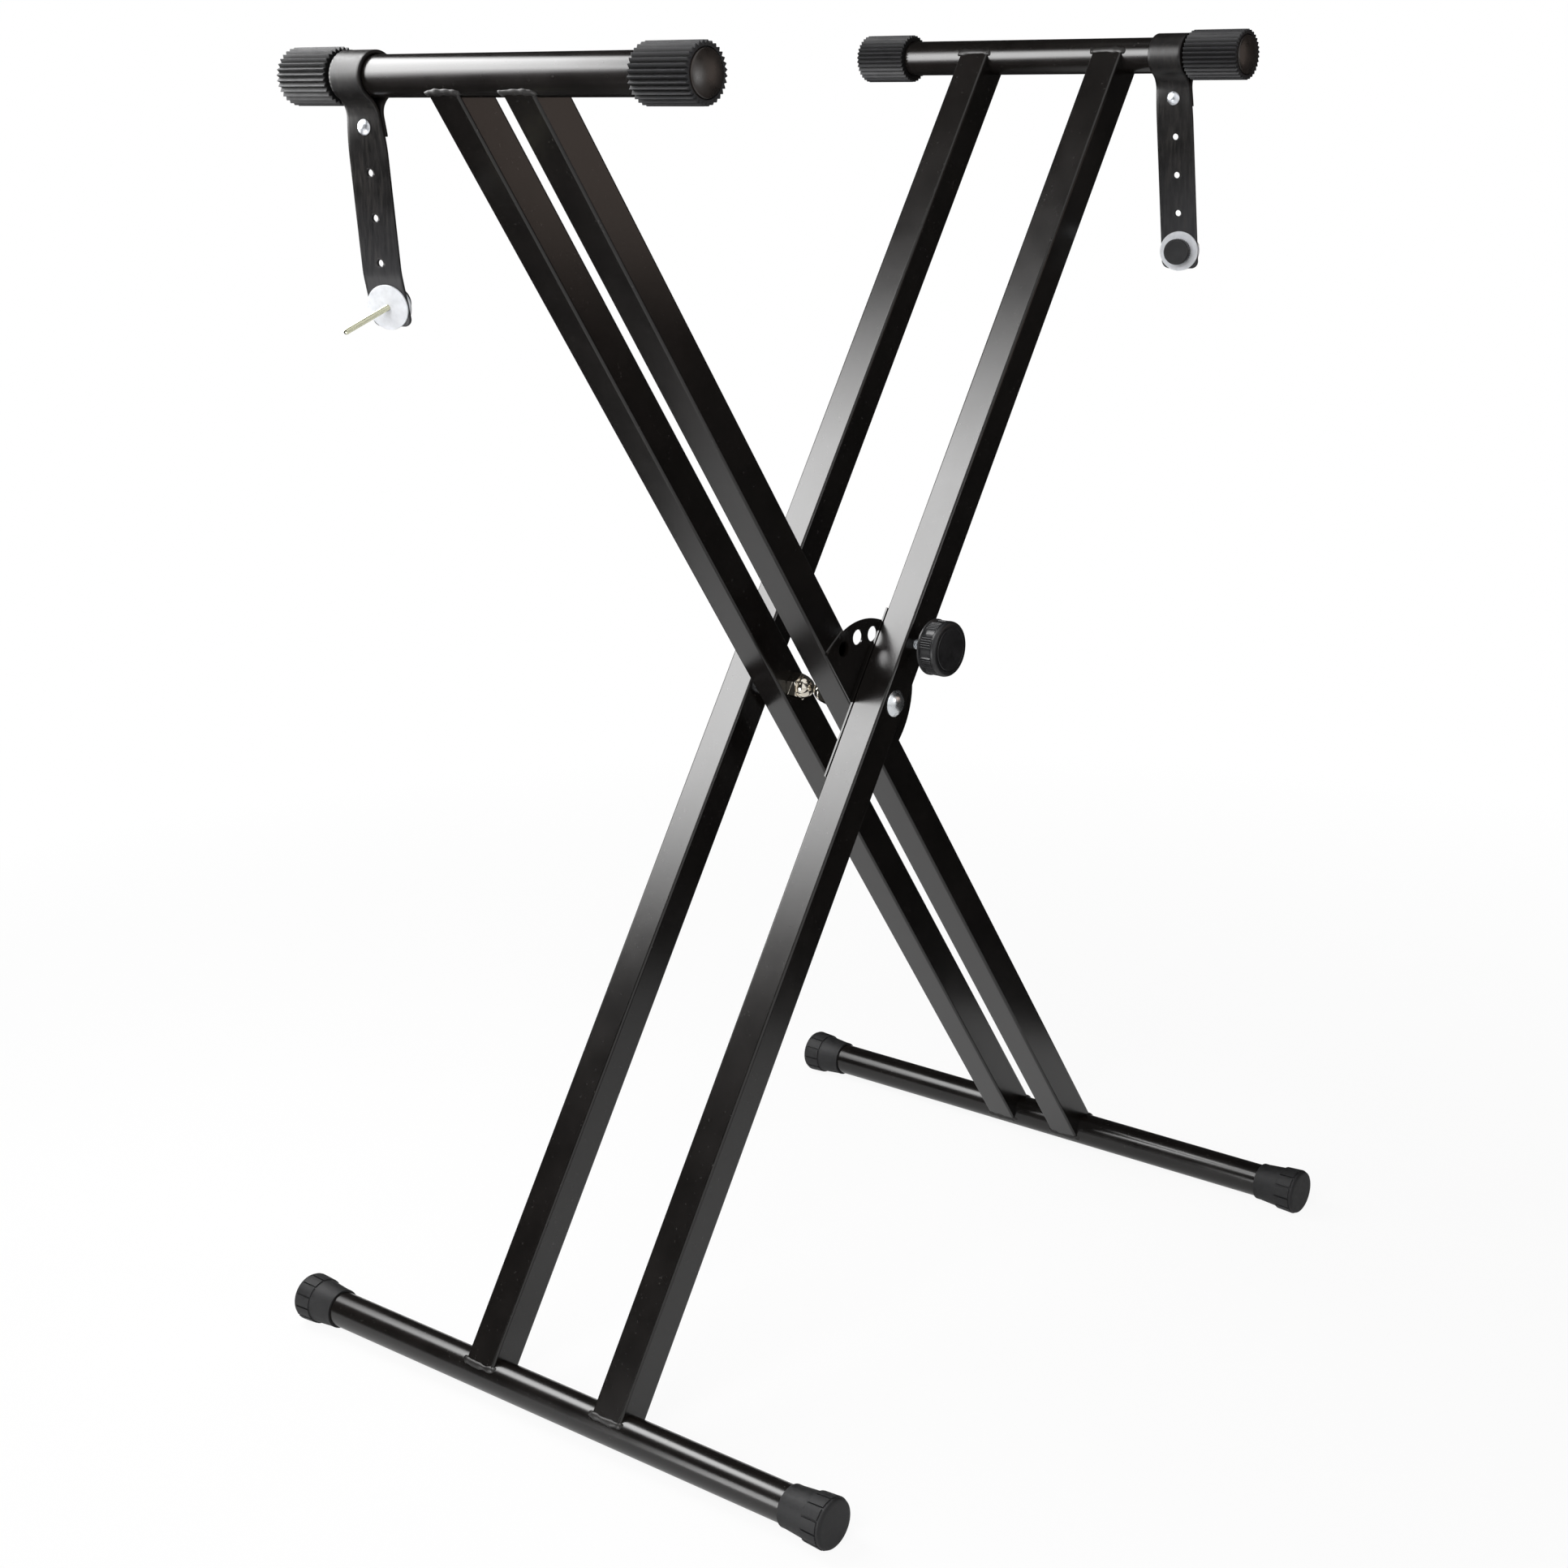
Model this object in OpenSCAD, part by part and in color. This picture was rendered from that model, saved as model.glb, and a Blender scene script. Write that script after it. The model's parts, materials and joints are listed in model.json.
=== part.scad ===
// Folding double-braced X stand for a keyboard, in millimetres.
// +X runs from the left top tube to the right one, +Y away from the viewer and +Z up.
// The origin is on the floor midway between the feet, and the pivot axis lies along Y above it.
// The inner frame runs from the left top tube to the right base tube, the outer one the other way.

/* [Round tubes] */
// Outer diameter of the round tubes
tube_d = 28; // [24:1:32]
// Wall of the round tubes
tube_wall = 1.5; // [1:0.25:2.5]
// Half length of a top tube, from the middle plane to its cut end
top_half = 184.5; // [175:0.5:230]
// Half length of a base tube, from the middle plane to its cut end
base_half = 264; // [200:1:320]

/* [Square arms] */
// Side of the square arms
arm_side = 28; // [24:1:30]
// Wall of the square arms
arm_wall = 1.5; // [1:0.25:2.5]
// Outer corner radius of the square arms
arm_corner = 2; // [1.5:0.25:4]
// Distance along an arm from the pivot to its top tube's axis
top_reach = 571; // [500:1:640]
// Distance along an arm from the pivot to its base tube's axis
base_reach = 579; // [500:1:640]
// Lean of each frame from the vertical
half_angle = 34.2; // [31:0.1:38]
// Distance from the middle plane to the centre of an inner arm
inner_y = 34.5; // [32:0.5:42]
// How far an arm's square end stops short of its tube's axis
arm_stop = 5; // [3:0.5:8]

/* [Ribbed top caps] */
// Length of a ribbed cap
cap_len = 48; // [40:1:60]
// Rubber between the tube and the foot of the ribs
cap_wall = 3.5; // [2.5:0.25:5]
// Height of the ribs
rib_h = 2; // [1:0.25:3]
// Number of ribs round a cap
rib_count = 32; // [24:1:40]
// How far a cap stands past the end of its tube
cap_over = 2; // [1.5:0.25:4]

/* [End plugs] */
// How far the head of an end plug laps over the tube's surface
plug_lap = 1; // [0.5:0.25:1.5]
// Height of the plug's domed face over its rim
plug_dome = 1.8; // [1:0.1:3]
// Length of the plug's stem inside the tube
plug_stem = 14; // [8:1:25]
// Wall of the plug's stem
plug_wall = 1.6; // [1:0.1:2.5]

/* [Foot caps] */
// Length of a foot cap
foot_len = 39; // [28:1:50]
// Thickness of a foot cap's closed end
foot_end = 7; // [4:0.5:10]
// Rubber over the tube at the foot cap's lip
foot_lip_wall = 1.7; // [1:0.1:2.5]
// Rubber over the tube where the sleeve meets the band
foot_sleeve_wall = 3.3; // [2.6:0.1:4]
// Rubber over the tube at the foot of the band's tabs
foot_band_wall = 4.4; // [4.1:0.1:5]
// Height of the tabs round the band
foot_tab_h = 0.8; // [0.6:0.1:1.5]
// Number of tabs round the band
foot_tabs = 12; // [10:1:24]
// Width of the gaps between the tabs
foot_tab_gap = 1.6; // [1:0.1:2.5]
// Length of the band of tabs
foot_band_len = 14; // [8:0.5:18]
// Depth of the flat where the foot stands on the floor
foot_flat = 0.4; // [0.2:0.1:0.6]

/* [Latch plates] */
// Radius of the half-round latch plate
latch_r = 62; // [60:1:66]
// Thickness of the latch plate
latch_t = 1.5; // [1:0.25:2.5]
// Diameter of the holes in the latch plate
latch_hole_d = 12; // [11:0.5:14]
// Distance from the pivot to the latch holes
latch_hole_r = 50; // [48:0.5:52]
// Angle from one latch hole to the next
latch_step = 21.3; // [18:0.1:22]
// Diameter of the rolled edge at the ends of the latch plate
latch_bead_d = 4.5; // [3.5:0.25:5.5]
// Thickness of the backing plate on the outer arm
backing_t = 1.5; // [1:0.25:2.5]
// Half length of the backing plate
backing_half = 71; // [68:1:80]
// Gap between the latch plate and the backing plate
plate_gap = 0.2; // [0.1:0.05:0.4]

/* [Pivot bolts] */
// Diameter of the pivot bolts
pivot_d = 10; // [8:0.5:11]
// Radial clearance of the inner arms on the pivot bolts
pivot_clear = 0.05; // [0.02:0.01:0.1]
// Diameter of a pivot bolt's domed head
head_d = 21; // [18:0.5:23]
// Height of a pivot bolt's domed head
head_h = 5.5; // [4:0.5:7]
// Width across the flats of the acorn nuts
nut_af = 19; // [17:0.5:20]
// Height of the hexagon on the acorn nuts
nut_hex_h = 9; // [6:0.5:11]
// Diameter of the dome on the acorn nuts
nut_dome_d = 17; // [15:0.25:17.5]
// Diameter of the washers between the far arms
pivot_washer_d = 24; // [20:1:27]

/* [Locking bolt] */
// Diameter of the locking bolt's thread
lock_d = 8; // [7:0.5:9]
// Length of thread seen between the arm and the knob
lock_show = 16; // [2:0.5:18]
// Length of the thread inside the knob
lock_grip = 11; // [8:0.5:12]
// Width across the flats of the nut inside the arm
lock_nut_af = 13; // [12:0.5:14]
// Height of the nut inside the arm
lock_nut_h = 6.5; // [5:0.5:8]
// Diameter of the locking knob
knob_d = 43; // [38:1:48]
// Length of the locking knob
knob_len = 16.5; // [16:0.5:22]
// Number of ridged pads round the knob
knob_pads = 8; // [6:1:10]
// Number of fine ridges on each pad
knob_ridges = 5; // [4:1:7]
// Radius of the knob's rounded shoulder
knob_round = 4; // [2:0.5:5]
// Thickness of the lip at the back of the knob
knob_lip_t = 1.6; // [1:0.1:2.5]

/* [Straps] */
// Width of the straps
strap_w = 30; // [24:1:36]
// Thickness of the straps
strap_t = 2.8; // [2:0.1:3.6]
// Gap between a strap's loop and its tube
strap_gap = 0.3; // [0.2:0.05:0.5]
// Gap between a strap and the cap beside it
strap_side_gap = 3; // [2:0.5:6]
// Distance from the tube's axis down to where the loop closes
strap_pinch = 27; // [26:0.5:32]
// Distance from the tube's axis down to the rivet
rivet_down = 33; // [32:1:38]
// Distance from the tube's axis down to the first spare hole
hole_down = 63; // [58:1:70]
// Distance from one hole to the next
hole_step = 30; // [24:1:34]
// Number of spare holes above the screw
hole_count = 3; // [2:1:3]
// Diameter of the spare holes
strap_hole_d = 5; // [4.5:0.25:7]
// Length of strap below the screw
strap_tail = 14; // [11:0.5:20]
// Corner radius at the strap's lower end
strap_corner = 6; // [3:0.5:8]
// Turn of the hanging part about the vertical
strap_twist = 17; // [0:1:20]
// Bend near the left strap's lower end, under the weight of its screw
strap_bend = 11; // [5:0.5:14]
// Sideways lean of the hanging part
strap_lean = 3.5; // [0:0.5:5]
// Diameter of a rivet's head
rivet_head_d = 11; // [9:0.5:12]
// Height of a rivet's head
rivet_head_h = 2; // [1.5:0.25:3]
// Diameter of a rivet's shank
rivet_d = 4; // [3:0.5:5]

/* [Strap screws] */
// Diameter of the strap screws
screw_d = 4; // [3:0.5:4.25]
// Length of screw that stands out of the strap's washer
screw_out = 56; // [40:1:60]
// Diameter of the washers on a strap screw
washer_d = 31.5; // [24:0.5:33]
// Thickness of the washers on a strap screw
washer_t = 1.5; // [1:0.1:2.5]
// Diameter of a strap screw's knurled knob
thumb_d = 20.5; // [18:0.5:24]
// Length of a strap screw's knurled knob
thumb_len = 10; // [8:0.5:14]
// Number of knurls round the knob
thumb_knurls = 36; // [24:1:44]

/* [Hidden] */
$fn = 64;

// Clearances between pieces of one rigid group, and between pieces that turn on each other
seat_gap = 0.02;
turn_gap = 0.1;
thread_gap = 0.05;
lock_tip_gap = 0.3;
// Room under a rivet's heads for the twist of the strap
rivet_lift = 0.2;
// Undercut of a strap screw from its washer to its knob, and how far outside the washer it starts
neck_depth = 0.55;
neck_start = 0.3;
// How far the rounded end of a knob laps over its ridges
shoulder_lap = 0.15;
// Overrun of a cut past the face that it opens
over = 1;
tube_r = tube_d / 2;
arm_half = arm_side / 2;
arm_cavity = arm_half - arm_wall;

// Heights: the feet stand on their flats, and the pivot sits above both base tubes
foot_r = tube_r + foot_band_wall + foot_tab_h;
base_z = foot_r - foot_flat;
pivot_z = base_z + base_reach * cos(half_angle);
top_z = pivot_z + top_reach * cos(half_angle);
top_x = top_reach * sin(half_angle);
base_x = base_reach * sin(half_angle);

// Planes across the arms, as distances from the middle plane
arm_gap = latch_t + backing_t + plate_gap;
outer_y = inner_y + arm_side + arm_gap;
inner_in = inner_y - arm_half;
inner_out = inner_y + arm_half;
outer_in = outer_y - arm_half;
outer_out = outer_y + arm_half;

// Latch holes, as angles from the inner frame's upper arm, for the lowest to the folded setting
latch_angles = [for (k = [-2 : 3]) 2 * half_angle - latch_step * k];

// Strap path in its own section plane: u across the strap's thickness, z up from the tube's axis
layer_gap = 0.2;
layer_u = (strap_t + layer_gap) / 2;
loop_r = tube_r + strap_gap + strap_t / 2;
blend_r = (pow(strap_pinch, 2) / (loop_r - layer_u) - (loop_r + layer_u)) / 2;
touch = atan2(strap_pinch, layer_u + blend_r);
twist_from = 12;
twist_to = 52;
lean_from = 20;
tail_end = rivet_down + 6.5;
screw_down = hole_down + hole_step * hole_count;
strap_end = screw_down + strap_tail;
strap_y = top_half + cap_over - cap_len - strap_side_gap - strap_w / 2;

// Placing
module lean(side) {
    translate([0, 0, pivot_z]) rotate([0, side * half_angle, 0]) children();
}

module on_tube(x, z, near) {
    translate([x, 0, z]) rotate([near ? 90 : -90, 0, 0]) children();
}

// Puts +Z of its children along Y, away from the middle plane, at the pivot axis
module outward(near) {
    translate([0, 0, pivot_z]) rotate([near ? 90 : -90, 0, 0]) children();
}

module ring(r_out, r_in, h) {
    difference() {
        cylinder(r = r_out, h = h);
        translate([0, 0, -over]) cylinder(r = r_in, h = h + 2 * over);
    }
}

module dome(r, h) {
    ball_r = (r * r + h * h) / (2 * h);
    intersection() {
        translate([0, 0, h - ball_r]) sphere(r = ball_r, $fn = 96);
        cylinder(r = r, h = h);
    }
}

// Disc of height h with its upper edge rounded
module rounded_disc(r, h, round_r) {
    rotate_extrude() {
        square([r - round_r, h]);
        intersection() {
            translate([r - round_r, h - round_r]) circle(r = round_r);
            square([r, h]);
        }
    }
}

module rounded_square(side, r) {
    square([side, side - 2 * r], center = true);
    square([side - 2 * r, side], center = true);
    for (x = [-1, 1], y = [-1, 1])
        translate([x, y] * (side / 2 - r)) circle(r = r, $fn = 32);
}

module hexagon(af, h) {
    cylinder(d = af / cos(30), h = h, $fn = 6);
}

// Frame tubes
module round_tube(x, z, half) {
    on_tube(x, z, true) translate([0, 0, -half]) ring(tube_r, tube_r - tube_wall, 2 * half);
}

module top_tube_left() color("#1b1b1d") round_tube(-top_x, top_z, top_half);
module top_tube_right() color("#1b1b1d") round_tube(top_x, top_z, top_half);
module base_tube_left() color("#1b1b1d") round_tube(-base_x, base_z, base_half);
module base_tube_right() color("#1b1b1d") round_tube(base_x, base_z, base_half);

// A square arm of the frame that leans to one side, coped to its two round tubes
module arm(side, y) {
    low = arm_stop - base_reach;
    high = top_reach - arm_stop;
    inner_corner = max(arm_corner - arm_wall, 0.3);
    lean(side) translate([0, y, 0]) difference() {
        translate([0, 0, low]) linear_extrude(high - low) difference() {
            rounded_square(arm_side, arm_corner);
            rounded_square(2 * arm_cavity, inner_corner);
        }
        for (z = [-base_reach, top_reach])
            translate([0, 0, z]) rotate([90, 0, 0])
                cylinder(r = tube_r + seat_gap, h = arm_side + 2 * over, center = true);
    }
}

module arm_bore(r, y) {
    translate([0, y, pivot_z]) rotate([90, 0, 0])
        cylinder(r = r, h = arm_side + 2 * over, center = true);
}

module inner_arm_near() {
    color("#1b1b1d") difference() {
        arm(-1, -inner_y);
        arm_bore(pivot_d / 2 + pivot_clear, -inner_y);
        latch_bores(latch_angles[5], arm_half - arm_wall / 2 + inner_y);
    }
}

module inner_arm_far() {
    color("#1b1b1d") difference() {
        arm(-1, inner_y);
        arm_bore(pivot_d / 2 + pivot_clear, inner_y);
    }
}

// An outer arm holds its bolt's square neck in a square hole in its outer wall
module outer_arm(near) {
    neck_hole = pivot_d + 2 * seat_gap;
    difference() {
        arm(1, near ? -outer_y : outer_y);
        arm_bore(pivot_d / 2 + seat_gap, near ? -outer_y : outer_y);
        outward(near) translate([0, 0, outer_out]) rotate([0, 0, near ? half_angle : -half_angle])
            cube([neck_hole, neck_hole, 2 * arm_wall], center = true);
    }
}

module outer_arm_near() {
    color("#1b1b1d") difference() {
        outer_arm(true);
        lock_axis() translate([0, 0, outer_in - over])
            cylinder(d = lock_d + 2 * thread_gap, h = arm_side + 2 * over);
    }
}

module outer_arm_far() color("#1b1b1d") outer_arm(false);

// Ribbed rubber cap, with its saw-tooth ribs along the tube
module ribbed_cap(x, near) {
    foot_of_ribs = tube_r + cap_wall;
    crest = 0.4;
    outline = [for (k = [0 : rib_count - 1], part = [0, crest])
        let (r = part == 0 ? foot_of_ribs : foot_of_ribs + rib_h, a = (k + part) * 360 / rib_count)
        r * [cos(a), sin(a)]];
    on_tube(x, top_z, near) difference() {
        translate([0, 0, top_half + cap_over - cap_len]) linear_extrude(cap_len) polygon(outline);
        cylinder(r = tube_r + seat_gap, h = top_half + cap_over + over);
        translate([0, 0, top_half]) cylinder(r = tube_r + plug_lap + 0.5, h = cap_over + over);
    }
}

module top_cap_left_near() color("#2a2a2c") ribbed_cap(-top_x, true);
module top_cap_left_far() color("#2a2a2c") ribbed_cap(-top_x, false);
module top_cap_right_near() color("#2a2a2c") ribbed_cap(top_x, true);
module top_cap_right_far() color("#2a2a2c") ribbed_cap(top_x, false);

// Plug with a domed head on the tube's cut end and a hollow stem inside it
module end_plug(x, near) {
    head_r = tube_r + plug_lap;
    stem_r = tube_r - tube_wall - seat_gap;
    on_tube(x, top_z, near) translate([0, 0, top_half]) {
        cylinder(r = head_r, h = cap_over);
        translate([0, 0, cap_over]) dome(head_r, plug_dome);
        translate([0, 0, -plug_stem]) ring(stem_r, stem_r - plug_wall, plug_stem);
    }
}

module end_plug_left_near() color("#222224") end_plug(-top_x, true);
module end_plug_left_far() color("#222224") end_plug(-top_x, false);
module end_plug_right_near() color("#222224") end_plug(top_x, true);
module end_plug_right_far() color("#222224") end_plug(top_x, false);

// Rubber foot: a flaring sleeve, a band of tabs and a closed end, cut flat at the floor
module foot_cap(x, near) {
    far_end = base_half + foot_end;
    lip = far_end - foot_len;
    band = far_end - 3 - foot_band_len;
    tab_end = far_end - 3;
    lip_r = tube_r + foot_lip_wall;
    sleeve_r = tube_r + foot_sleeve_wall;
    band_r = tube_r + foot_band_wall;
    difference() {
        on_tube(x, base_z, near) difference() {
            rotate_extrude() {
                polygon([[0, lip], [lip_r - 1, lip], [lip_r, lip + 1], [lip_r, lip + 4], [sleeve_r, band],
                    [band_r, band], [foot_r, tab_end], [band_r, tab_end], [band_r, far_end - 1],
                    [band_r - 1, far_end], [0, far_end]]);
            }
            for (k = [0 : foot_tabs - 1]) rotate([0, 0, (k + 0.5) * 360 / foot_tabs])
                translate([band_r, -foot_tab_gap / 2, band])
                    cube([2 * foot_tab_h, foot_tab_gap, foot_band_len]);
            translate([0, 0, lip - over]) cylinder(r = tube_r + seat_gap, h = base_half - lip + over);
        }
        translate([x - foot_r, -2 * far_end, -foot_r]) cube([2 * foot_r, 4 * far_end, foot_r]);
    }
}

module foot_cap_left_near() color("#242426") foot_cap(-base_x, true);
module foot_cap_left_far() color("#242426") foot_cap(-base_x, false);
module foot_cap_right_near() color("#242426") foot_cap(base_x, true);
module foot_cap_right_far() color("#242426") foot_cap(base_x, false);

// Latch: holes at a list of angles on the near side, through whatever stands at depth y
module latch_bores(angles, y) {
    lean(-1) for (a = is_list(angles) ? angles : [angles])
        translate([latch_hole_r * sin(a), -y, latch_hole_r * cos(a)]) rotate([90, 0, 0])
            cylinder(d = latch_hole_d, h = 2 * latch_t + arm_wall, center = true);
}

module latch_plate() {
    bead_r = latch_bead_d / 2;
    end_z = sqrt(pow(latch_r, 2) - pow(arm_half, 2));
    color("#1b1b1d") difference() {
        lean(-1) {
            intersection() {
                translate([0, -inner_out, 0]) rotate([90, 0, 0])
                    cylinder(r = latch_r, h = latch_t, $fn = 128);
                translate([-arm_half, -inner_out - latch_t, -latch_r])
                    cube([arm_half + latch_r, latch_t, 2 * latch_r]);
            }
            for (z = [-1, 1]) intersection() {
                translate([0, bead_r - inner_out - latch_t, z * end_z]) rotate([0, 90, 0])
                    cylinder(r = bead_r, h = arm_side - 2 * arm_corner, center = true);
                translate([0, -inner_out - latch_t / 2, z * end_z])
                    cube([arm_side, latch_t, latch_bead_d], center = true);
            }
        }
        latch_bores(latch_angles, inner_out + latch_t / 2);
        translate([0, -inner_out, pivot_z]) rotate([90, 0, 0])
            cylinder(d = pivot_d + 2 * pivot_clear, h = 4 * latch_t, center = true);
    }
}

module latch_backing_plate() {
    color("#1b1b1d") difference() {
        lean(1) translate([-arm_half, -outer_in, -backing_half])
            cube([arm_side, backing_t, 2 * backing_half]);
        arm_bore(pivot_d / 2 + seat_gap, -outer_y + arm_half);
        lock_axis() translate([0, 0, outer_in - backing_t - over])
            cylinder(d = lock_d + 2 * thread_gap, h = backing_t + 2 * over);
    }
}

// Pivot bolt with its domed head, square neck and round shank, from the head inwards
module pivot_bolt(near) {
    tip = inner_in - nut_hex_h - 3;
    neck = arm_wall;
    outward(near) {
        translate([0, 0, outer_out + seat_gap]) dome(head_d / 2, head_h);
        translate([0, 0, tip]) cylinder(d = pivot_d, h = outer_out - tip + seat_gap);
        rotate([0, 0, near ? half_angle : -half_angle]) translate([0, 0, outer_out - neck / 2])
            cube([pivot_d, pivot_d, neck + 2 * seat_gap], center = true);
    }
}

module pivot_bolt_near() color("#c9c9cc") pivot_bolt(true);
module pivot_bolt_far() color("#c9c9cc") pivot_bolt(false);

// Acorn nut on the inner arm's inner face, pointing at the middle plane
module pivot_nut(near) {
    r = nut_dome_d / 2;
    straight = 1.25;
    bore = nut_hex_h + 3 + turn_gap + seat_gap;
    outward(near) translate([0, 0, inner_in - turn_gap]) mirror([0, 0, 1]) difference() {
        union() {
            hexagon(nut_af, nut_hex_h);
            cylinder(r = r, h = nut_hex_h + straight);
            translate([0, 0, nut_hex_h + straight]) intersection() {
                sphere(r = r);
                cylinder(r = r, h = r);
            }
        }
        translate([0, 0, -over]) cylinder(r = pivot_d / 2 + thread_gap, h = bore + over);
    }
}

module pivot_nut_near() color("#d2cfc8") pivot_nut(true);
module pivot_nut_far() color("#d2cfc8") pivot_nut(false);

// Two washers fill the gap between the far arms, where there is no latch
module pivot_washers_far() {
    washer_h = (arm_gap - turn_gap) / 2;
    color("#b9b9bc") for (k = [0, 1])
        outward(false) translate([0, 0, outer_in - (k + 1) * washer_h])
            ring(pivot_washer_d / 2, pivot_d / 2 + thread_gap, washer_h - seat_gap / 2);
}

// Locking bolt, on the near outer arm above the pivot, with +Z away from the middle plane
module lock_axis() {
    lean(1) translate([0, 0, latch_hole_r]) rotate([90, 0, 0]) children();
}

module locking_bolt() {
    tip = outer_in - backing_t - plate_gap + lock_tip_gap;
    lock_end = outer_out + lock_show + lock_grip;
    color("#c9c9cc") lock_axis() translate([0, 0, tip]) cylinder(d = lock_d, h = lock_end - tip);
}

module locking_nut() {
    color("#a9a9ac") lock_axis() translate([0, 0, outer_y + arm_cavity - seat_gap - lock_nut_h])
        rotate([0, 0, 30]) difference() {
            hexagon(lock_nut_af, lock_nut_h);
            translate([0, 0, -over]) cylinder(r = lock_d / 2 + thread_gap, h = lock_nut_h + 2 * over);
        }
}

// Outline of the knob: ridged pads between shallow hollows
module knob_outline() {
    pad = 360 / knob_pads;
    ridge = 0.5;
    hollow = 1.2;
    share = 0.55;
    steps = 2 * knob_ridges;
    scoop = 6;
    r = knob_d / 2 - shoulder_lap;
    polygon([for (k = [0 : knob_pads - 1]) each concat(
        [for (i = [0 : steps]) let (a = pad * (k + share * i / steps), q = r - (i % 2 == 0 ? ridge : 0))
            q * [cos(a), sin(a)]],
        [for (i = [1 : scoop - 1]) let (s = i / scoop, a = pad * (k + share + (1 - share) * s),
            q = r - ridge - hollow * sin(180 * s)) q * [cos(a), sin(a)]])]);
}

module locking_knob() {
    r = knob_d / 2;
    color("#1e1e20") lock_axis() translate([0, 0, outer_out + lock_show]) difference() {
        union() {
            cylinder(r = r + 0.3, h = knob_lip_t);
            linear_extrude(knob_len - knob_round) knob_outline();
            translate([0, 0, knob_len - knob_round]) rounded_disc(r, knob_round, knob_round);
        }
        translate([0, 0, -over]) cylinder(r = lock_d / 2 + thread_gap, h = lock_grip + over + turn_gap);
    }
}

// Straps: each rule below takes a depth under the tube's axis
function smooth(t) = let (s = min(max(t, 0), 1)) s * s * (3 - 2 * s);
function yaw_at(down) = strap_twist * smooth((down - twist_from) / (twist_to - twist_from));
function slip_at(down) = tan(strap_lean) * max(down - lean_from, 0);
function half_width_at(rise) = strap_w / 2
    - (rise < strap_corner ? strap_corner - sqrt(pow(strap_corner, 2) - pow(strap_corner - rise, 2)) : 0);

// A point across the thickness (u), across the width (v) and up (z), turned and leaned as it hangs
function hung(u, v, z) = let (a = yaw_at(-z), w = v - slip_at(-z))
    [u * cos(a) - w * sin(a), u * sin(a) + w * cos(a), z];

// A point of the hanging layer after a length along it, bent over a short arc: [u, z, outward u, outward z]
bend_from = screw_down - 27;
bend_to = screw_down - 20;
function bent(along, bend) = bend == 0 || along <= bend_from ? [-layer_u, -along, -1, 0]
    : let (part = min((along - bend_from) / (bend_to - bend_from), 1), b = bend * part,
        r = (bend_to - bend_from) / (bend * PI / 180), rest = max(along - bend_to, 0))
    [r * (1 - cos(b)) + rest * sin(b) - layer_u, -bend_from - r * sin(b) - rest * cos(b), -cos(b), -sin(b)];

// Stations from the short end up, round the tube and down: [u, z, outward u, outward z, half width]
loop_steps = 28;
blend_steps = 7;
tail_steps = 2;
corner_steps = 6;
hang_step = 5;
tail_depths = [for (i = [1 : tail_steps]) strap_pinch + (tail_end - strap_pinch) * i / tail_steps];
function strap_path(bend) = concat(
    [for (i = [1 : tail_steps]) [layer_u, -tail_depths[tail_steps - i], 1, 0, strap_w / 2]],
    [for (i = [0 : blend_steps - 1]) let (a = touch * i / blend_steps)
        [layer_u + blend_r * (1 - cos(a)), blend_r * sin(a) - strap_pinch, cos(a), -sin(a), strap_w / 2]],
    [for (i = [0 : loop_steps]) let (a = -touch + (180 + 2 * touch) * i / loop_steps)
        [loop_r * cos(a), loop_r * sin(a), cos(a), sin(a), strap_w / 2]],
    [for (i = [1 : blend_steps]) let (a = touch * (1 - i / blend_steps))
        [-layer_u - blend_r * (1 - cos(a)), blend_r * sin(a) - strap_pinch, -cos(a), -sin(a), strap_w / 2]],
    [for (down = tail_depths) [-layer_u, -down, -1, 0, strap_w / 2]],
    [for (down = [tail_end + hang_step : hang_step : strap_end - strap_corner - 1])
        concat(bent(down, bend), strap_w / 2)],
    [for (i = [0 : corner_steps]) let (rise = strap_corner * pow(1 - i / corner_steps, 2))
        concat(bent(strap_end - rise, bend), half_width_at(max(rise, 0.05)))]
);

// Each station is a ring of points, over the outer side from -v to +v and back over the inner side
strips = 3;
ring_points = 2 * (strips + 1);
ring_places = concat(
    [for (j = [0 : strips]) [1, 2 * j / strips - 1]],
    [for (j = [0 : strips]) [-1, 1 - 2 * j / strips]]
);

// The seams of the rising half mirror those of the hanging half, so that the two layers lie alike
function seam(a, b, rising) = rising
    ? [[a, a + ring_points, b], [b, a + ring_points, b + ring_points]]
    : [[a, b + ring_points, b], [a, a + ring_points, b + ring_points]];

module strap(x, y, bend) {
    path = strap_path(bend);
    rings = len(path);
    points = [for (p = path, q = ring_places)
        hung(p[0] + q[0] * p[2] * strap_t / 2, q[1] * p[4], p[1] + q[0] * p[3] * strap_t / 2)];
    sides = [for (k = [0 : rings - 2], j = [0 : ring_points - 1])
        each seam(ring_points * k + j, ring_points * k + (j + 1) % ring_points, k < rings / 3)];
    last = ring_points * (rings - 1);
    ends = [for (j = [0 : strips - 1])
        let (a = j, b = j + 1, c = ring_points - 2 - j, d = ring_points - 1 - j)
        each [[a, b, c], [a, c, d], [last + a, last + c, last + b], [last + a, last + d, last + c]]];
    difference() {
        translate([x, y, top_z]) polyhedron(points = points, faces = concat(sides, ends));
        on_strap(x, y, rivet_down) cylinder(d = rivet_d + 2 * seat_gap, h = 4 * strap_t, center = true);
        for (k = [0 : hole_count - 1]) on_strap(x, y, hole_down + k * hole_step)
            cylinder(d = strap_hole_d, h = 4 * strap_t, center = true);
        on_screw(x, y, bend) cylinder(d = screw_d + 2 * turn_gap, h = 4 * strap_t, center = true);
    }
}

// Puts +Z of its children square to the strap at a depth, from the middle plane between its layers
module on_strap(x, y, down) {
    translate([x, y, top_z - down]) rotate([0, 0, yaw_at(down)])
        translate([0, -slip_at(down), 0]) rotate([0, 90, 0]) children();
}

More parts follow.
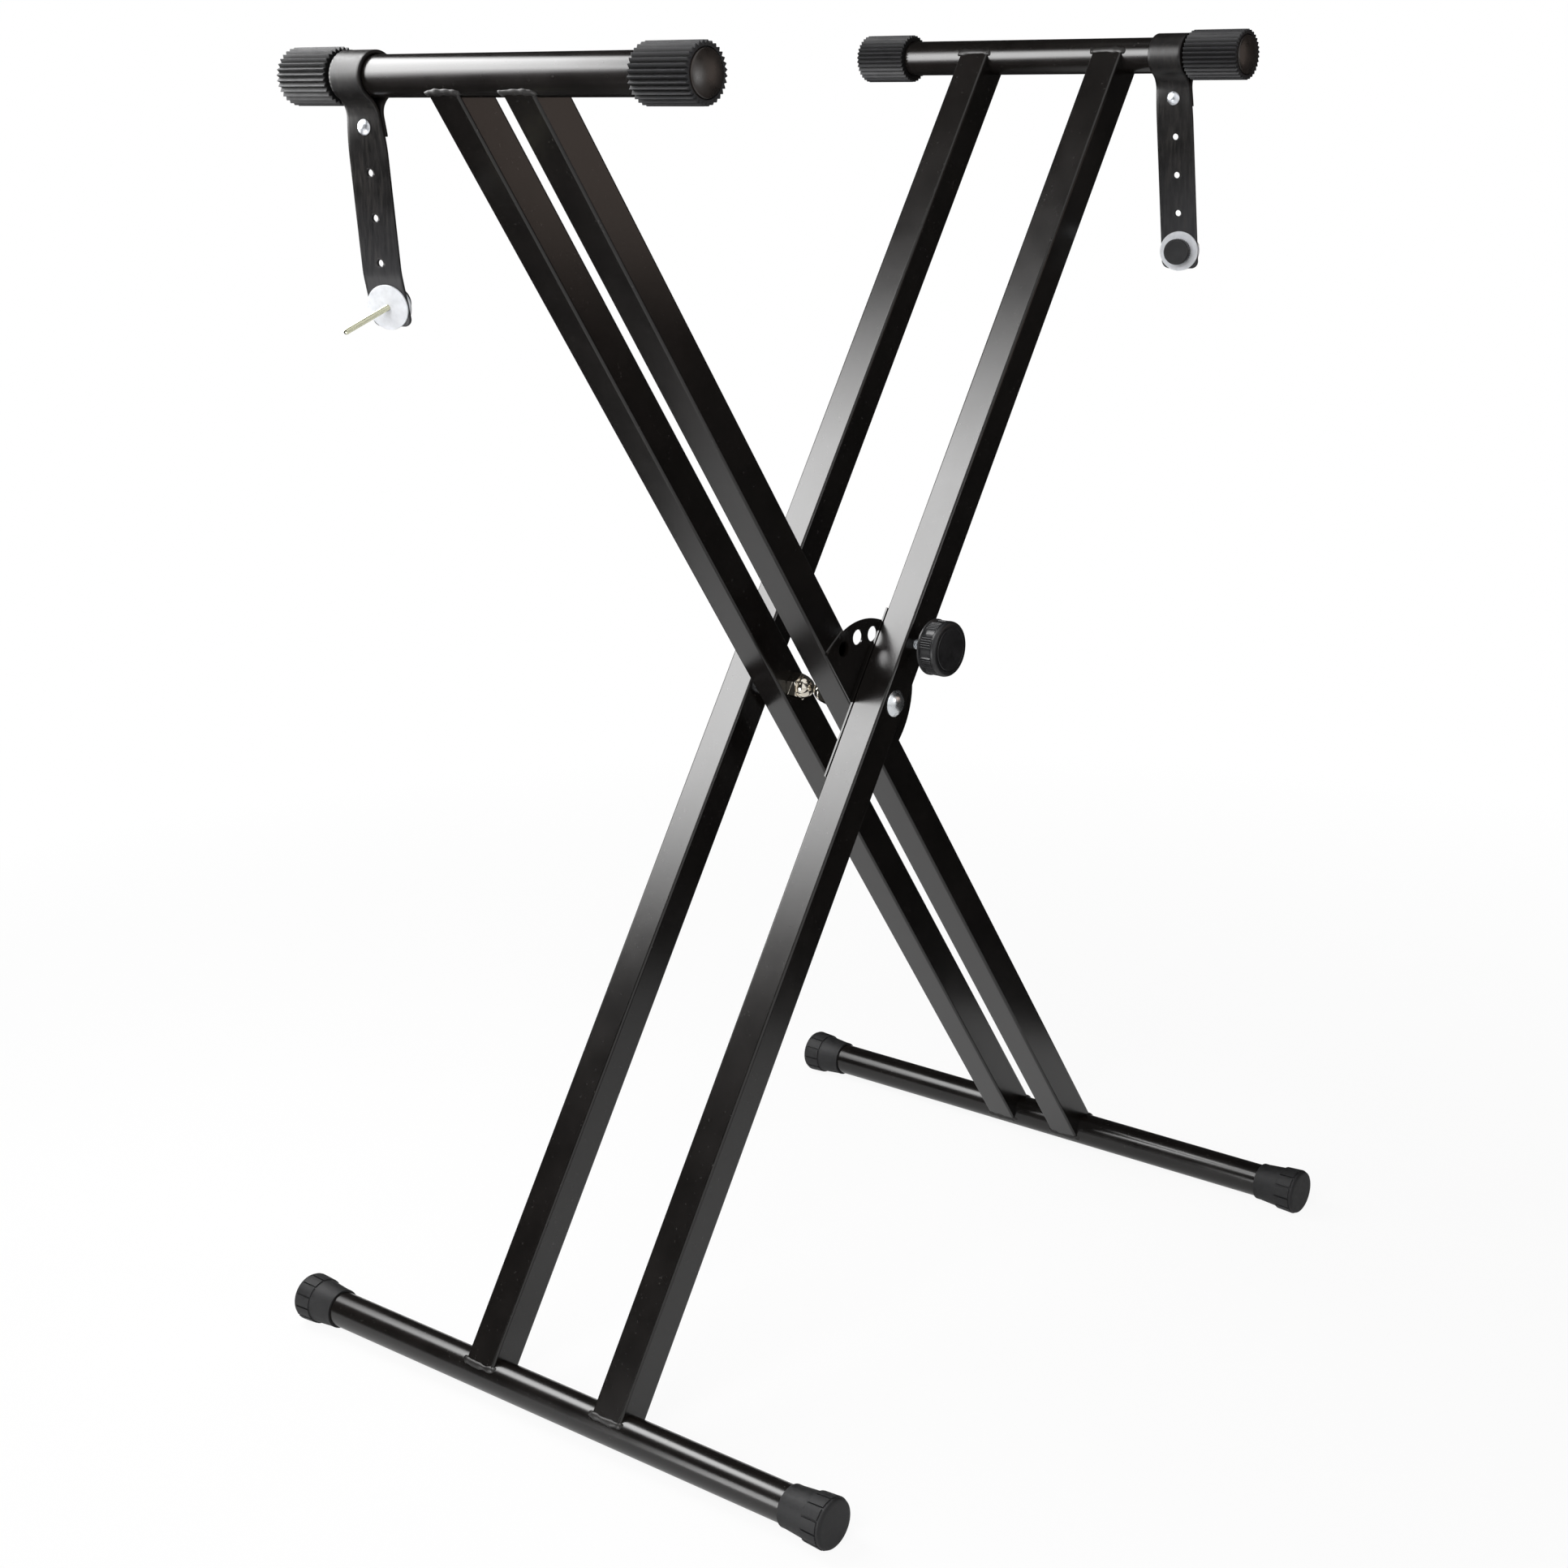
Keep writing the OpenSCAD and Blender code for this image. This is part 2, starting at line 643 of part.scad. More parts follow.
// Puts +Z of its children along a strap screw, from the middle of the strap; the left one is bent
module on_screw(x, y, bend) {
    place = bent(screw_down, bend);
    on_strap(x, y, -place[1]) translate([0, 0, place[0]])
        rotate([0, -bend, 0]) mirror([0, 0, bend == 0 ? 1 : 0]) children();
}

module strap_rivet(x, y) {
    reach = layer_u + strap_t / 2 + rivet_lift;
    on_strap(x, y, rivet_down) {
        cylinder(d = rivet_d, h = 2 * reach, center = true);
        for (side = [0, 1]) mirror([0, 0, side]) translate([0, 0, reach])
            dome(rivet_head_d / 2, rivet_head_h);
    }
}

module strap_washers(x, y, bend) {
    on_screw(x, y, bend) for (side = [0, 1]) mirror([0, 0, side])
        translate([0, 0, strap_t / 2 + seat_gap]) ring(washer_d / 2, screw_d / 2 + turn_gap, washer_t);
}

module strap_screw(x, y, bend) {
    stack = strap_t / 2 + washer_t + seat_gap;
    grip = 0.7 * thumb_len;
    on_screw(x, y, bend) translate([0, 0, -stack - screw_out]) {
        cylinder(d = screw_d, h = screw_out - neck_start);
        cylinder(r = screw_d / 2 - neck_depth, h = screw_out + 2 * stack + turn_gap + grip);
    }
}

module strap_knob(x, y, bend) {
    stack = strap_t / 2 + washer_t + seat_gap + turn_gap;
    knurl = 0.5;
    grip = 0.7 * thumb_len;
    round_r = 1.5;
    r = thumb_d / 2;
    outline = [for (i = [0 : 2 * thumb_knurls - 1]) let (a = 180 * i / thumb_knurls)
        (r - shoulder_lap - (i % 2) * knurl) * [cos(a), sin(a)]];
    on_screw(x, y, bend) translate([0, 0, stack]) difference() {
        union() {
            linear_extrude(thumb_len - round_r) polygon(outline);
            translate([0, 0, thumb_len - round_r]) rounded_disc(r, round_r, round_r);
        }
        translate([0, 0, -over])
            cylinder(r = screw_d / 2 - neck_depth + seat_gap, h = grip + over + seat_gap);
    }
}

module strap_left() color("#262628") strap(-top_x, strap_y, strap_bend);
module strap_right() color("#262628") strap(top_x, -strap_y, 0);
module strap_rivet_left() color("#d5d8dc") strap_rivet(-top_x, strap_y);
module strap_rivet_right() color("#d5d8dc") strap_rivet(top_x, -strap_y);
module strap_washers_left() color("#dfe2ea") strap_washers(-top_x, strap_y, strap_bend);
module strap_washers_right() color("#dfe2ea") strap_washers(top_x, -strap_y, 0);
module strap_screw_left() color("#c9c8b8") strap_screw(-top_x, strap_y, strap_bend);
module strap_screw_right() color("#c9c8b8") strap_screw(top_x, -strap_y, 0);
module strap_knob_left() color("#1e1e20") strap_knob(-top_x, strap_y, strap_bend);
module strap_knob_right() color("#1e1e20") strap_knob(top_x, -strap_y, 0);

top_tube_left();
top_tube_right();
base_tube_left();
base_tube_right();
inner_arm_near();
inner_arm_far();
outer_arm_near();
outer_arm_far();
top_cap_left_near();
top_cap_left_far();
top_cap_right_near();
top_cap_right_far();
end_plug_left_near();
end_plug_left_far();
end_plug_right_near();
end_plug_right_far();
foot_cap_left_near();
foot_cap_left_far();
foot_cap_right_near();
foot_cap_right_far();
latch_plate();
latch_backing_plate();
pivot_bolt_near();
pivot_bolt_far();
pivot_nut_near();
pivot_nut_far();
pivot_washers_far();
locking_bolt();
locking_nut();
locking_knob();
strap_left();
strap_rivet_left();
strap_washers_left();
strap_screw_left();
strap_knob_left();
strap_right();
strap_rivet_right();
strap_washers_right();
strap_screw_right();
strap_knob_right();
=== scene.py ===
import json

import bmesh
import bpy
import numpy as np
from mathutils import Matrix, Quaternion, Vector


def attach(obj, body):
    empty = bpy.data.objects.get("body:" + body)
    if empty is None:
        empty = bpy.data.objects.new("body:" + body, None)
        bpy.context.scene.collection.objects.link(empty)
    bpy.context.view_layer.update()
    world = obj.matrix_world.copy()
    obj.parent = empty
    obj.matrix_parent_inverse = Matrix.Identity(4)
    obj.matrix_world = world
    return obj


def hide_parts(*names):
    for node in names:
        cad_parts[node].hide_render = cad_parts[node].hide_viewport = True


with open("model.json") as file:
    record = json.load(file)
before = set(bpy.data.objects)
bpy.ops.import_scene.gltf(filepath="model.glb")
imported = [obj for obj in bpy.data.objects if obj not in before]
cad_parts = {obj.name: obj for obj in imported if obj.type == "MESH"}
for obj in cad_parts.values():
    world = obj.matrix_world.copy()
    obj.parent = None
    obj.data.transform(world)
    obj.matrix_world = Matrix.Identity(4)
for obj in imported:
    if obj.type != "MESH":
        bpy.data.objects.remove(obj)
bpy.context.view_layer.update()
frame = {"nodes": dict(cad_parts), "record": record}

bl_info = {
    "name": "Folding keyboard stand",
    "version": (1, 0, 0),
    "blender": (4, 5, 0),
    "location": "3D View > Sidebar > Stand",
    "description": "Dresses the packed stand with its rubber, fasteners, straps, weld seams and finishes",
    "category": "Object",
}

# Lengths are in millimetres in the stand's own frame, and angles in degrees
MM = 0.001
TURN = 2 * np.pi
# Gap between pieces that seat on each other
SEAT_GAP = 0.02
# Tubes and arms: each arm leans by the half angle, and stops short of its tube's axis
TUBE_R = 14.0
TOP_HALF = 184.5
BASE_HALF = 264.0
HALF_ANGLE = 34.2
TOP_REACH = 571.0
BASE_REACH = 579.0
ARM_HALF = 14.0
ARM_STOP = 5.0
INNER_Y = 34.5
OUTER_Y = 65.7
FOOT_R = 19.2
BASE_Z = 18.8
PIVOT_Z = BASE_Z + BASE_REACH * np.cos(np.radians(HALF_ANGLE))
TOP_Z = PIVOT_Z + TOP_REACH * np.cos(np.radians(HALF_ANGLE))
TOP_X = TOP_REACH * np.sin(np.radians(HALF_ANGLE))
BASE_X = BASE_REACH * np.sin(np.radians(HALF_ANGLE))
# Rubber ends of the tubes
CAP_OVER = 2.0
CAP_LEN = 48.0
CAP_CREST_R = 19.5
FOOT_END = BASE_HALF + 7
# Latch and its backing plate
LATCH_HOLE_R = 50.0
LATCH_GAP = 0.2
PLATE_T = 1.5
# Straps: depths are taken down from the axis of the tube, and the yaw and the lean ease in below it
STRAP_T = 2.8
STRAP_HALF = 15.0
LAYER_U = 1.5
STRAP_Y = 120.5
STRAP_YAW = 17.0
YAW_FROM = 12.0
YAW_OVER = 40.0
STRAP_LEAN = 3.5
LEAN_FROM = 20.0
STRAP_ROUND = 6.0
HANGS_FREE = 100.0
WASHER_T = 1.5
RIVET_DOWN = 33.0
HOLES_DOWN = (63.0, 93.0, 123.0)
SCREW_DOWN = 153.0
STRAP_END = 167.0
STRAP_BEND = 11.0
BEND_FROM = 126.0
BEND_TO = 133.0
BODY_OF = {node: body for body, nodes in frame["record"]["behaviour"]["bodies"].items() for node in nodes}


class StandSizes(bpy.types.PropertyGroup):
    """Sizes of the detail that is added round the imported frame."""
    rib_count: bpy.props.IntProperty(
        name="Cap ribs", description="Number of ribs round a top cap", default=32, min=12, max=48)
    rib_height: bpy.props.FloatProperty(
        name="Rib height", description="Height of the ribs on the top caps", default=0.0024, unit="LENGTH")
    bead_radius: bpy.props.FloatProperty(
        name="Weld bead", description="Half height of the weld beads", default=0.0026, unit="LENGTH")
    strap_edge: bpy.props.FloatProperty(
        name="Strap edge", description="Radius along the edges of the straps", default=0.0007, unit="LENGTH")


def colour_setting(name, use, *default):
    """A colour that a user may change."""
    return bpy.props.FloatVectorProperty(
        name=name, description="Colour of " + use, subtype="COLOR", default=default)


class StandColours(bpy.types.PropertyGroup):
    """Colours of the finishes."""
    coat: colour_setting("Powder coat", "the frame", 0.0050, 0.0041, 0.0036)
    rubber: colour_setting("Cap rubber", "the ribbed caps", 0.0125, 0.0125, 0.014)
    foot: colour_setting("Foot rubber", "the foot caps", 0.012, 0.012, 0.0127)
    plug: colour_setting("Plug", "the end plugs", 0.020, 0.016, 0.014)
    strap: colour_setting("Strap", "the straps", 0.0065, 0.006, 0.006)
    knob: colour_setting("Knob", "the knobs", 0.010, 0.010, 0.011)
    chrome: colour_setting("Nickel", "the acorn nuts", 0.74, 0.70, 0.62)
    zinc: colour_setting("Zinc", "bolts and washers", 0.74, 0.77, 0.80)
    rivet: colour_setting("Rivet", "the rivets", 0.76, 0.79, 0.84)
    nylon: colour_setting("Nylon", "the strap washers", 0.86, 0.88, 0.92)


class Wire:
    """A socket of a material. Arithmetic on it adds Math nodes."""

    def __init__(self, finish, socket):
        self.finish = finish
        self.socket = socket

    def math(self, operation, first, second):
        return self.finish.node("ShaderNodeMath", {"operation": operation}, {0: first, 1: second})

    def __add__(self, other):
        return self.math("ADD", self, other)

    def __radd__(self, other):
        return self.math("ADD", other, self)

    def __sub__(self, other):
        return self.math("SUBTRACT", self, other)

    def __rsub__(self, other):
        return self.math("SUBTRACT", other, self)

    def __mul__(self, other):
        return self.math("MULTIPLY", self, other)

    def __rmul__(self, other):
        return self.math("MULTIPLY", other, self)

    def __or__(self, other):
        """The larger of two values."""
        return self.math("MAXIMUM", self, other)

    def __ror__(self, other):
        return self.math("MAXIMUM", other, self)


class Finish:
    """Nodes of a procedural material, or of the surroundings, made one by one on Object coordinates."""

    def __init__(self, name, surroundings=None):
        self.material = surroundings or bpy.data.materials.new(name)
        self.material.use_nodes = True
        self.tree = self.material.node_tree
        self.tree.nodes.clear()
        self.place = self.node("ShaderNodeTexCoord", out="Object")

    def node(self, kind, settings=None, sockets=None, out=0):
        """A node of a type, with its settings first, then the values or links of its sockets."""
        made = self.tree.nodes.new(kind)
        for key, value in (settings or {}).items():
            setattr(made, key, value)
        for key, value in (sockets or {}).items():
            if isinstance(value, Wire):
                self.tree.links.new(value.socket, made.inputs[key])
            elif hasattr(value, "__len__") and len(value) == 3 and made.inputs[key].type == "RGBA":
                made.inputs[key].default_value = (*value, 1)
            else:
                made.inputs[key].default_value = value
        return Wire(self, made.outputs[out]) if len(made.outputs) else made

    def stretched(self, x, y, z):
        """Object coordinates, scaled apart on each axis."""
        return self.node("ShaderNodeMapping", None, {"Vector": self.place, "Scale": (x, y, z)})

    def noise(self, grain, detail, rough, place=None):
        """Noise whose lumps are about grain millimetres wide."""
        return self.node("ShaderNodeTexNoise", None, {
            "Vector": place or self.place, "Scale": 1 / (grain * MM), "Detail": detail, "Roughness": rough})

    def spread(self, value, low, high, to_low=0.0, to_high=1.0):
        """Maps low..high of a value to a new range, clamped."""
        sockets = {"Value": value, "From Min": low, "From Max": high, "To Min": to_low, "To Max": to_high}
        return self.node("ShaderNodeMapRange", None, sockets)

    def mix(self, share, first, second):
        """Goes from the first colour to the second with the share."""
        return self.node("ShaderNodeMix", {"data_type": "RGBA"}, {0: share, 6: first, 7: second}, out=2)

    def vector_math(self, operation, *values, out=0):
        """A Vector Math node on its values in order."""
        return self.node("ShaderNodeVectorMath", {"operation": operation}, dict(enumerate(values)), out)

    def from_point(self, x, y, z, keep):
        """Distance in millimetres from a point along the kept axes, the same in both halves of the stand."""
        mirrored = self.vector_math("ABSOLUTE", self.place)
        offset = self.vector_math("SUBTRACT", mirrored, (x * MM, y * MM, z * MM))
        kept = self.vector_math("MULTIPLY", offset, keep)
        return self.vector_math("LENGTH", kept, out="Value") * (1 / MM)

    def bump(self, height, depth, strength, normal=None):
        """Bump from a height between 0 and 1 that stands for depth millimetres."""
        sockets = {"Height": height, "Distance": depth * MM, "Strength": strength}
        if normal is not None:
            sockets["Normal"] = normal
        return self.node("ShaderNodeBump", None, sockets)

    def shown(self):
        """1 for what is seen, straight, in a reflection or through something clear, and 0 for light."""
        kinds = ("Camera", "Glossy", "Transmission")
        camera, glossy, clear = (self.node("ShaderNodeLightPath", out="Is %s Ray" % kind) for kind in kinds)
        return camera | glossy | clear

    def shaded(self, sockets):
        """The finished material, with the values and links of its Principled shader."""
        surface = self.node("ShaderNodeBsdfPrincipled", None, sockets)
        self.node("ShaderNodeOutputMaterial", None, {"Surface": surface})
        return self.material


def scaled(colour, factor):
    """A colour times a factor, held at 1."""
    return tuple(min(1.0, channel * factor) for channel in colour)


def powder_coat(colour, name, rough):
    """Black powder coat: a near-black base, fine orange peel and a few pale specks of dust."""
    f = Finish(name)
    peel = f.noise(1.4, 2, 0.5)
    fine = f.noise(0.35, 2, 0.6)
    cloud = f.noise(38, 3, 0.6)
    specks = f.spread(f.noise(2.2, 1, 0.4), 0.735, 0.76)
    tone = f.mix(f.spread(cloud, 0.35, 0.65), scaled(colour, 0.8), scaled(colour, 1.3))
    base = f.mix(specks * 0.5, tone, (0.05, 0.048, 0.045))
    return f.shaded({
        "Base Color": base,
        "Roughness": f.spread(cloud, 0.3, 0.7, rough, rough + 0.04),
        "IOR": 1.5,
        "Normal": f.bump(fine, 0.006, 0.6, f.bump(peel, 0.016, 0.5)),
    })


def cap_rubber(colour, name, grain, rough, mottle, shade_and_wear):
    """Moulded rubber: soft mottling, a fine matt grain, painted shade in its hollows and dust where the grain
    is high.

    The last argument gives the axis (x, z), the two radii between which it goes from painted shade in the
    hollows to the full tone with paler dust and wear, and how far out along the tube its flat end lies, which
    has no painted shade and takes the dust all over.
    """
    f = Finish(name)
    cloud = f.noise(grain, 4, 0.62)
    skin = f.noise(0.45, 3, 0.6)
    x, z, hollow, crest, end = shade_and_wear
    # Painted shade: the hollows between the ribs or tabs, inside the crest radius, fall to 0.12 of the
    # colour, and the flat end face is left out of it
    on_end = f.spread(f.from_point(0, 0, 0, (0, 1, 0)), end - 1.4, end - 0.2)
    rise = f.spread(f.from_point(x, 0, z, (1, 0, 1)) + cloud * 0.8, hollow, crest) | on_end
    tone = f.mix(f.spread(cloud, 0.3, 0.7), scaled(colour, 1 - mottle), scaled(colour, 1 + mottle))
    shade = f.mix(rise, scaled(colour, 0.12), tone)
    dust = f.spread(f.noise(1.1, 3, 0.7), 0.56, 0.72) * rise
    return f.shaded({
        "Base Color": f.mix(dust * 0.35, shade, scaled(colour, 2.6)),
        "Roughness": f.spread(cloud, 0.3, 0.7, rough - 0.07, rough + 0.07),
        "IOR": 1.4,
        "Normal": f.bump(skin, 0.03, 0.5, f.bump(cloud, 0.12, 0.3)),
    })


def strap_rubber(colour):
    """Strap rubber with streaks along its length and a slightly glossy skin."""
    f = Finish("strap_rubber")
    streak = f.noise(2.2, 4, 0.6, f.stretched(1, 1, 0.12))
    blot = f.noise(14, 4, 0.65)
    skin = f.noise(0.5, 3, 0.6)
    tone = f.mix(f.spread(blot, 0.35, 0.7), scaled(colour, 0.7), scaled(colour, 1.7))
    low = f.spread(f.from_point(0, 0, TOP_Z, (0, 0, 1)), 75, 160)
    bloom = f.mix(low * f.spread(streak, 0.3, 0.6, 0.6, 1.0), tone, (0.04, 0.04, 0.043))
    warm = f.mix(f.spread(streak, 0.5, 0.72) * 0.4, bloom, (0.03, 0.026, 0.023))
    return f.shaded({
        "Base Color": warm,
        "Roughness": f.spread(streak, 0.3, 0.7, 0.28, 0.44),
        "IOR": 1.33,
        "Normal": f.bump(skin, 0.02, 0.5, f.bump(streak, 0.09, 0.35, f.bump(blot, 0.2, 0.25))),
    })


def satin_plastic(colour, name, rough):
    """Satin moulded plastic with faint flow marks."""
    f = Finish(name)
    flow = f.noise(9, 3, 0.55)
    skin = f.noise(0.3, 2, 0.6)
    return f.shaded({
        "Base Color": f.mix(f.spread(flow, 0.3, 0.7), scaled(colour, 0.75), scaled(colour, 1.3)),
        "Roughness": f.spread(flow, 0.3, 0.7, rough - 0.05, rough + 0.06),
        "IOR": 1.5,
        "Normal": f.bump(skin, 0.015, 0.5, f.bump(flow, 0.1, 0.2)),
    })


def plated(colour, name, rough, tint, tint_share, outer=None):
    """Plated steel: a bright metal with faint clouds of a second tint and fine handling marks.

    outer is the colour of the pieces past 200 mm from the middle, which are the strap screws.
    """
    f = Finish(name)
    cloud = f.noise(3.5, 4, 0.6)
    marks = f.noise(0.25, 2, 0.7)
    middle = f.mix(f.spread(cloud, 0.4, 0.7) * tint_share, colour, tint)
    apart = f.spread(f.from_point(0, 0, 0, (1, 0, 0)), 180, 200)
    return f.shaded({
        "Base Color": f.mix(apart, middle, outer) if outer else middle,
        "Metallic": 1.0,
        "Roughness": f.spread(cloud, 0.3, 0.7, rough * 0.75, rough * 1.35),
        "Normal": f.bump(marks, 0.006, 0.5, f.bump(cloud, 0.05, 0.2)),
    })


def milky_nylon(colour):
    """Milky nylon that lets a little light through, with turning marks."""
    f = Finish("milky_nylon")
    cloud = f.noise(5, 3, 0.6)
    skin = f.noise(0.6, 2, 0.6)
    return f.shaded({
        "Base Color": f.mix(f.spread(cloud, 0.3, 0.7), scaled(colour, 0.88), scaled(colour, 1.06)),
        "Roughness": f.spread(cloud, 0.3, 0.7, 0.36, 0.48),
        "IOR": 1.5,
        "Transmission Weight": 0.35,
        "Subsurface Weight": 0.25,
        "Subsurface Radius": (0.9, 0.95, 1.0),
        "Subsurface Scale": 0.003,
        "Normal": f.bump(skin, 0.02, 0.4),
    })


FINISHES = {}


def finishes():
    """All materials of the stand by record slot, and the coat on its welds, made once."""
    if not bpy.data.materials.get("powder_coat"):
        colours = bpy.context.scene.stand_colours
        # Axis, radii and end of the painted shade in the hollows and of the paler dust on the high parts, for
        # the caps and the feet
        cap_shade_and_wear = (TOP_X, TOP_Z, 18.3, CAP_CREST_R, TOP_HALF + CAP_OVER)
        foot_shade_and_wear = (BASE_X, BASE_Z, 12, 17.5, FOOT_END)
        FINISHES.update({
            "black_powder_coat": powder_coat(colours.coat, "powder_coat", 0.2),
            "weld_coat": powder_coat(colours.coat, "weld_coat", 0.42),
            "ribbed_rubber": cap_rubber(colours.rubber, "ribbed_rubber", 6, 0.6, 0.25, cap_shade_and_wear),
            "foot_rubber": cap_rubber(colours.foot, "foot_rubber", 4, 0.6, 0.4, foot_shade_and_wear),
            "plug_plastic": satin_plastic(colours.plug, "plug_plastic", 0.3),
            "strap_rubber": strap_rubber(colours.strap),
            "knob_plastic": satin_plastic(colours.knob, "knob_plastic", 0.4),
            "chrome": plated(colours.chrome, "chrome", 0.1, (0.62, 0.52, 0.38), 0.5),
            "zinc_plate": plated(
                colours.zinc, "zinc_plate", 0.24, (0.64, 0.65, 0.66), 0.6, outer=(0.66, 0.66, 0.5)),
            "rivet_steel": plated(colours.rivet, "rivet_steel", 0.36, (0.7, 0.7, 0.7), 0.5),
            "nylon": milky_nylon(colours.nylon),
        })
    return FINISHES


def turned(axis, degrees):
    """Matrix that turns points about an axis through the origin."""
    return np.array(Matrix.Rotation(np.radians(degrees), 4, axis))


def moved(x, y, z):
    """Matrix that moves points."""
    return np.array(Matrix.Translation((x, y, z)))


def placed(part, *steps):
    """A part carried through matrices, the outermost first."""
    points, faces = part
    whole = np.eye(4)
    for step in steps:
        whole = whole @ step
    return points @ whole[:3, :3].T + whole[:3, 3], faces


def quads(rows, columns, wrap_rows=False, wrap_columns=True):
    """Faces of a grid of points: point (r, c) is joined with its neighbours below and beside it."""
    r = np.arange(rows if wrap_rows else rows - 1)[:, None]
    c = np.arange(columns if wrap_columns else columns - 1)[None, :]
    below, beside = (r + 1) % rows, (c + 1) % columns
    corners = [r * columns + c, r * columns + beside, below * columns + beside, below * columns + c]
    return np.stack(corners, -1).reshape(-1, 4)


def softened(corners, closed=False, steps=4):
    """A line of corners (radius, height, rounding, share), each corner replaced by a curve of its rounding.

    The curve is the quadratic one, P = A (1 - t)^2 + 2 C t (1 - t) + B t^2, with A and B at the rounding from
    the corner C. A further point a little outside each keeps the flats flat when they are shaded smooth.
    """
    outside = 1.2
    rows = np.array([(*corner, *(0,) * (4 - len(corner))) for corner in corners], float)
    spots = rows[:, [0, 1, 3]]
    made = []
    for k, (spot, rounding) in enumerate(zip(spots, rows[:, 2])):
        if rounding == 0 or (not closed and k in (0, len(rows) - 1)):
            made.append(spot[None])
            continue
        before, after = spots[k - 1] - spot, spots[(k + 1) % len(rows)] - spot
        before = before / np.hypot(*before[:2])
        after = after / np.hypot(*after[:2])
        t = np.linspace(0, 1, steps + 1)[:, None]
        start, end = spot + before * rounding, spot + after * rounding
        curve = start * (1 - t) ** 2 + 2 * spot * t * (1 - t) + end * t ** 2
        first, last = spot + before * rounding * outside, spot + after * rounding * outside
        made.append(np.vstack([first, curve, last]))
    return np.concatenate(made)


def spun(profile, columns=72, reshape=None, closed=False):
    """A profile (radius, height, share) turned about Z: x = r cos a, y = r sin a, z = h.

    columns is a number of even steps, or the angles themselves. reshape works out r from the radius, height,
    share and angle.
    """
    r, h, share = np.asarray(profile, float).T[..., None]
    a = np.arange(columns)[None] * TURN / columns if np.isscalar(columns) else np.asarray(columns)[None]
    r = reshape(r, h, share, a) if reshape else r + 0 * a
    h = h + 0 * a
    points = np.stack([r * np.cos(a), r * np.sin(a), h], -1)
    return points.reshape(-1, 3), quads(*h.shape, wrap_rows=closed)


def piece(name, parts, body, slot, replaces=(), sharp=32, finish=None):
    """Puts parts in one mesh in metres, closes its poles and seams, and lets it ride on its body."""
    offsets = np.cumsum([0] + [len(points) for points, _ in parts])
    points = np.concatenate([points for points, _ in parts]) * MM
    faces = np.concatenate([faces + offset for (_, faces), offset in zip(parts, offsets)])
    mesh = bpy.data.meshes.new(name)
    mesh.vertices.add(len(points))
    mesh.vertices.foreach_set("co", points.ravel())
    mesh.loops.add(faces.size)
    mesh.loops.foreach_set("vertex_index", faces.ravel())
    mesh.polygons.add(len(faces))
    mesh.polygons.foreach_set("loop_start", np.arange(len(faces)) * 4)
    mesh.update(calc_edges=True)
    work = bmesh.new()
    work.from_mesh(mesh)
    bmesh.ops.remove_doubles(work, verts=work.verts, dist=1e-6)
    work.to_mesh(mesh)
    work.free()
    mesh.shade_smooth()
    mesh.set_sharp_from_angle(angle=np.radians(sharp))
    made = bpy.data.objects.new(name, mesh)
    bpy.context.scene.collection.objects.link(made)
    made.data.materials.append(finishes()[finish or slot])
    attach(made, body)
    if replaces:
        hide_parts(*replaces)
    return made


def lean(side):
    """Frame of an arm: Z runs up along it from the pivot."""
    return moved(0, 0, PIVOT_Z) @ turned("Y", side * HALF_ANGLE)


def along_tube(x, z, near):
    """Frame on a line across the stand, with Z along it towards its near or far end."""
    return moved(x, 0, z) @ turned("X", 90 if near else -90)


def lock_axis():
    """Frame on the locking bolt's axis, with Z towards the knob."""
    return lean(1) @ moved(0, 0, LATCH_HOLE_R) @ turned("X", 90)


def threaded(bottom, top, radius, pitch, columns):
    """A thread: the radius falls by its depth along a helix, r = R - depth * wave(h / pitch - a / turn).

    The share holds the cone that chamfers each end.
    """
    depth = 0.6 * pitch
    chamfer_foot = radius - depth - 0.2
    rows_per_turn = 8
    heights = np.linspace(bottom, top, int((top - bottom) / pitch * rows_per_turn))
    limit = chamfer_foot + np.minimum(heights - bottom, top - heights)
    run = np.stack([radius + 0 * heights, heights, limit], -1)

    def groove(r, h, share, a):
        """wave = clip(1.35 |2 phase - 1| - 0.2), which leaves a flat crest and a flat root."""
        phase = (h / pitch - a / TURN) % 1
        wave = np.clip(np.abs(2 * phase - 1) * 1.35 - 0.2, 0, 1)
        return np.where(r > 0, np.minimum(r - depth * wave, np.maximum(share, 0.1)), 0)

    return spun(np.vstack([(0, bottom, 0), run, (0, top, 0)]), columns, groove)


def dress_node(name):
    """Gives a kept node the finish of its record slot."""
    slots = {row["node"]: row["material_slot"] for row in frame["record"]["subparts"]}
    node = frame["nodes"][name]
    node.data.materials.clear()
    node.data.materials.append(finishes()[slots[name]])


# Nodes whose solids are shown, in the finish of their slot
KEPT_NODES = (
    "top_tube_left", "top_tube_right", "base_tube_left", "base_tube_right",
    "inner_arm_near", "inner_arm_far", "outer_arm_near", "outer_arm_far",
    "latch_plate", "latch_backing_plate", "pivot_washers_far", "locking_nut",
)
ENDS = [(side, near) for side in (-1, 1) for near in (True, False)]


def end_name(side, near):
    """What tells a tube's four end pieces apart in their names."""
    return ("left" if side < 0 else "right") + ("_near" if near else "_far")


class STAND_OT_frame(bpy.types.Operator):
    """Gives the tubes, arms and plates their powder coat"""
    bl_idname = "stand.frame"
    bl_label = "Frame finish"

    def execute(self, context):
        for name in KEPT_NODES:
            dress_node(name)
        return {"FINISHED"}


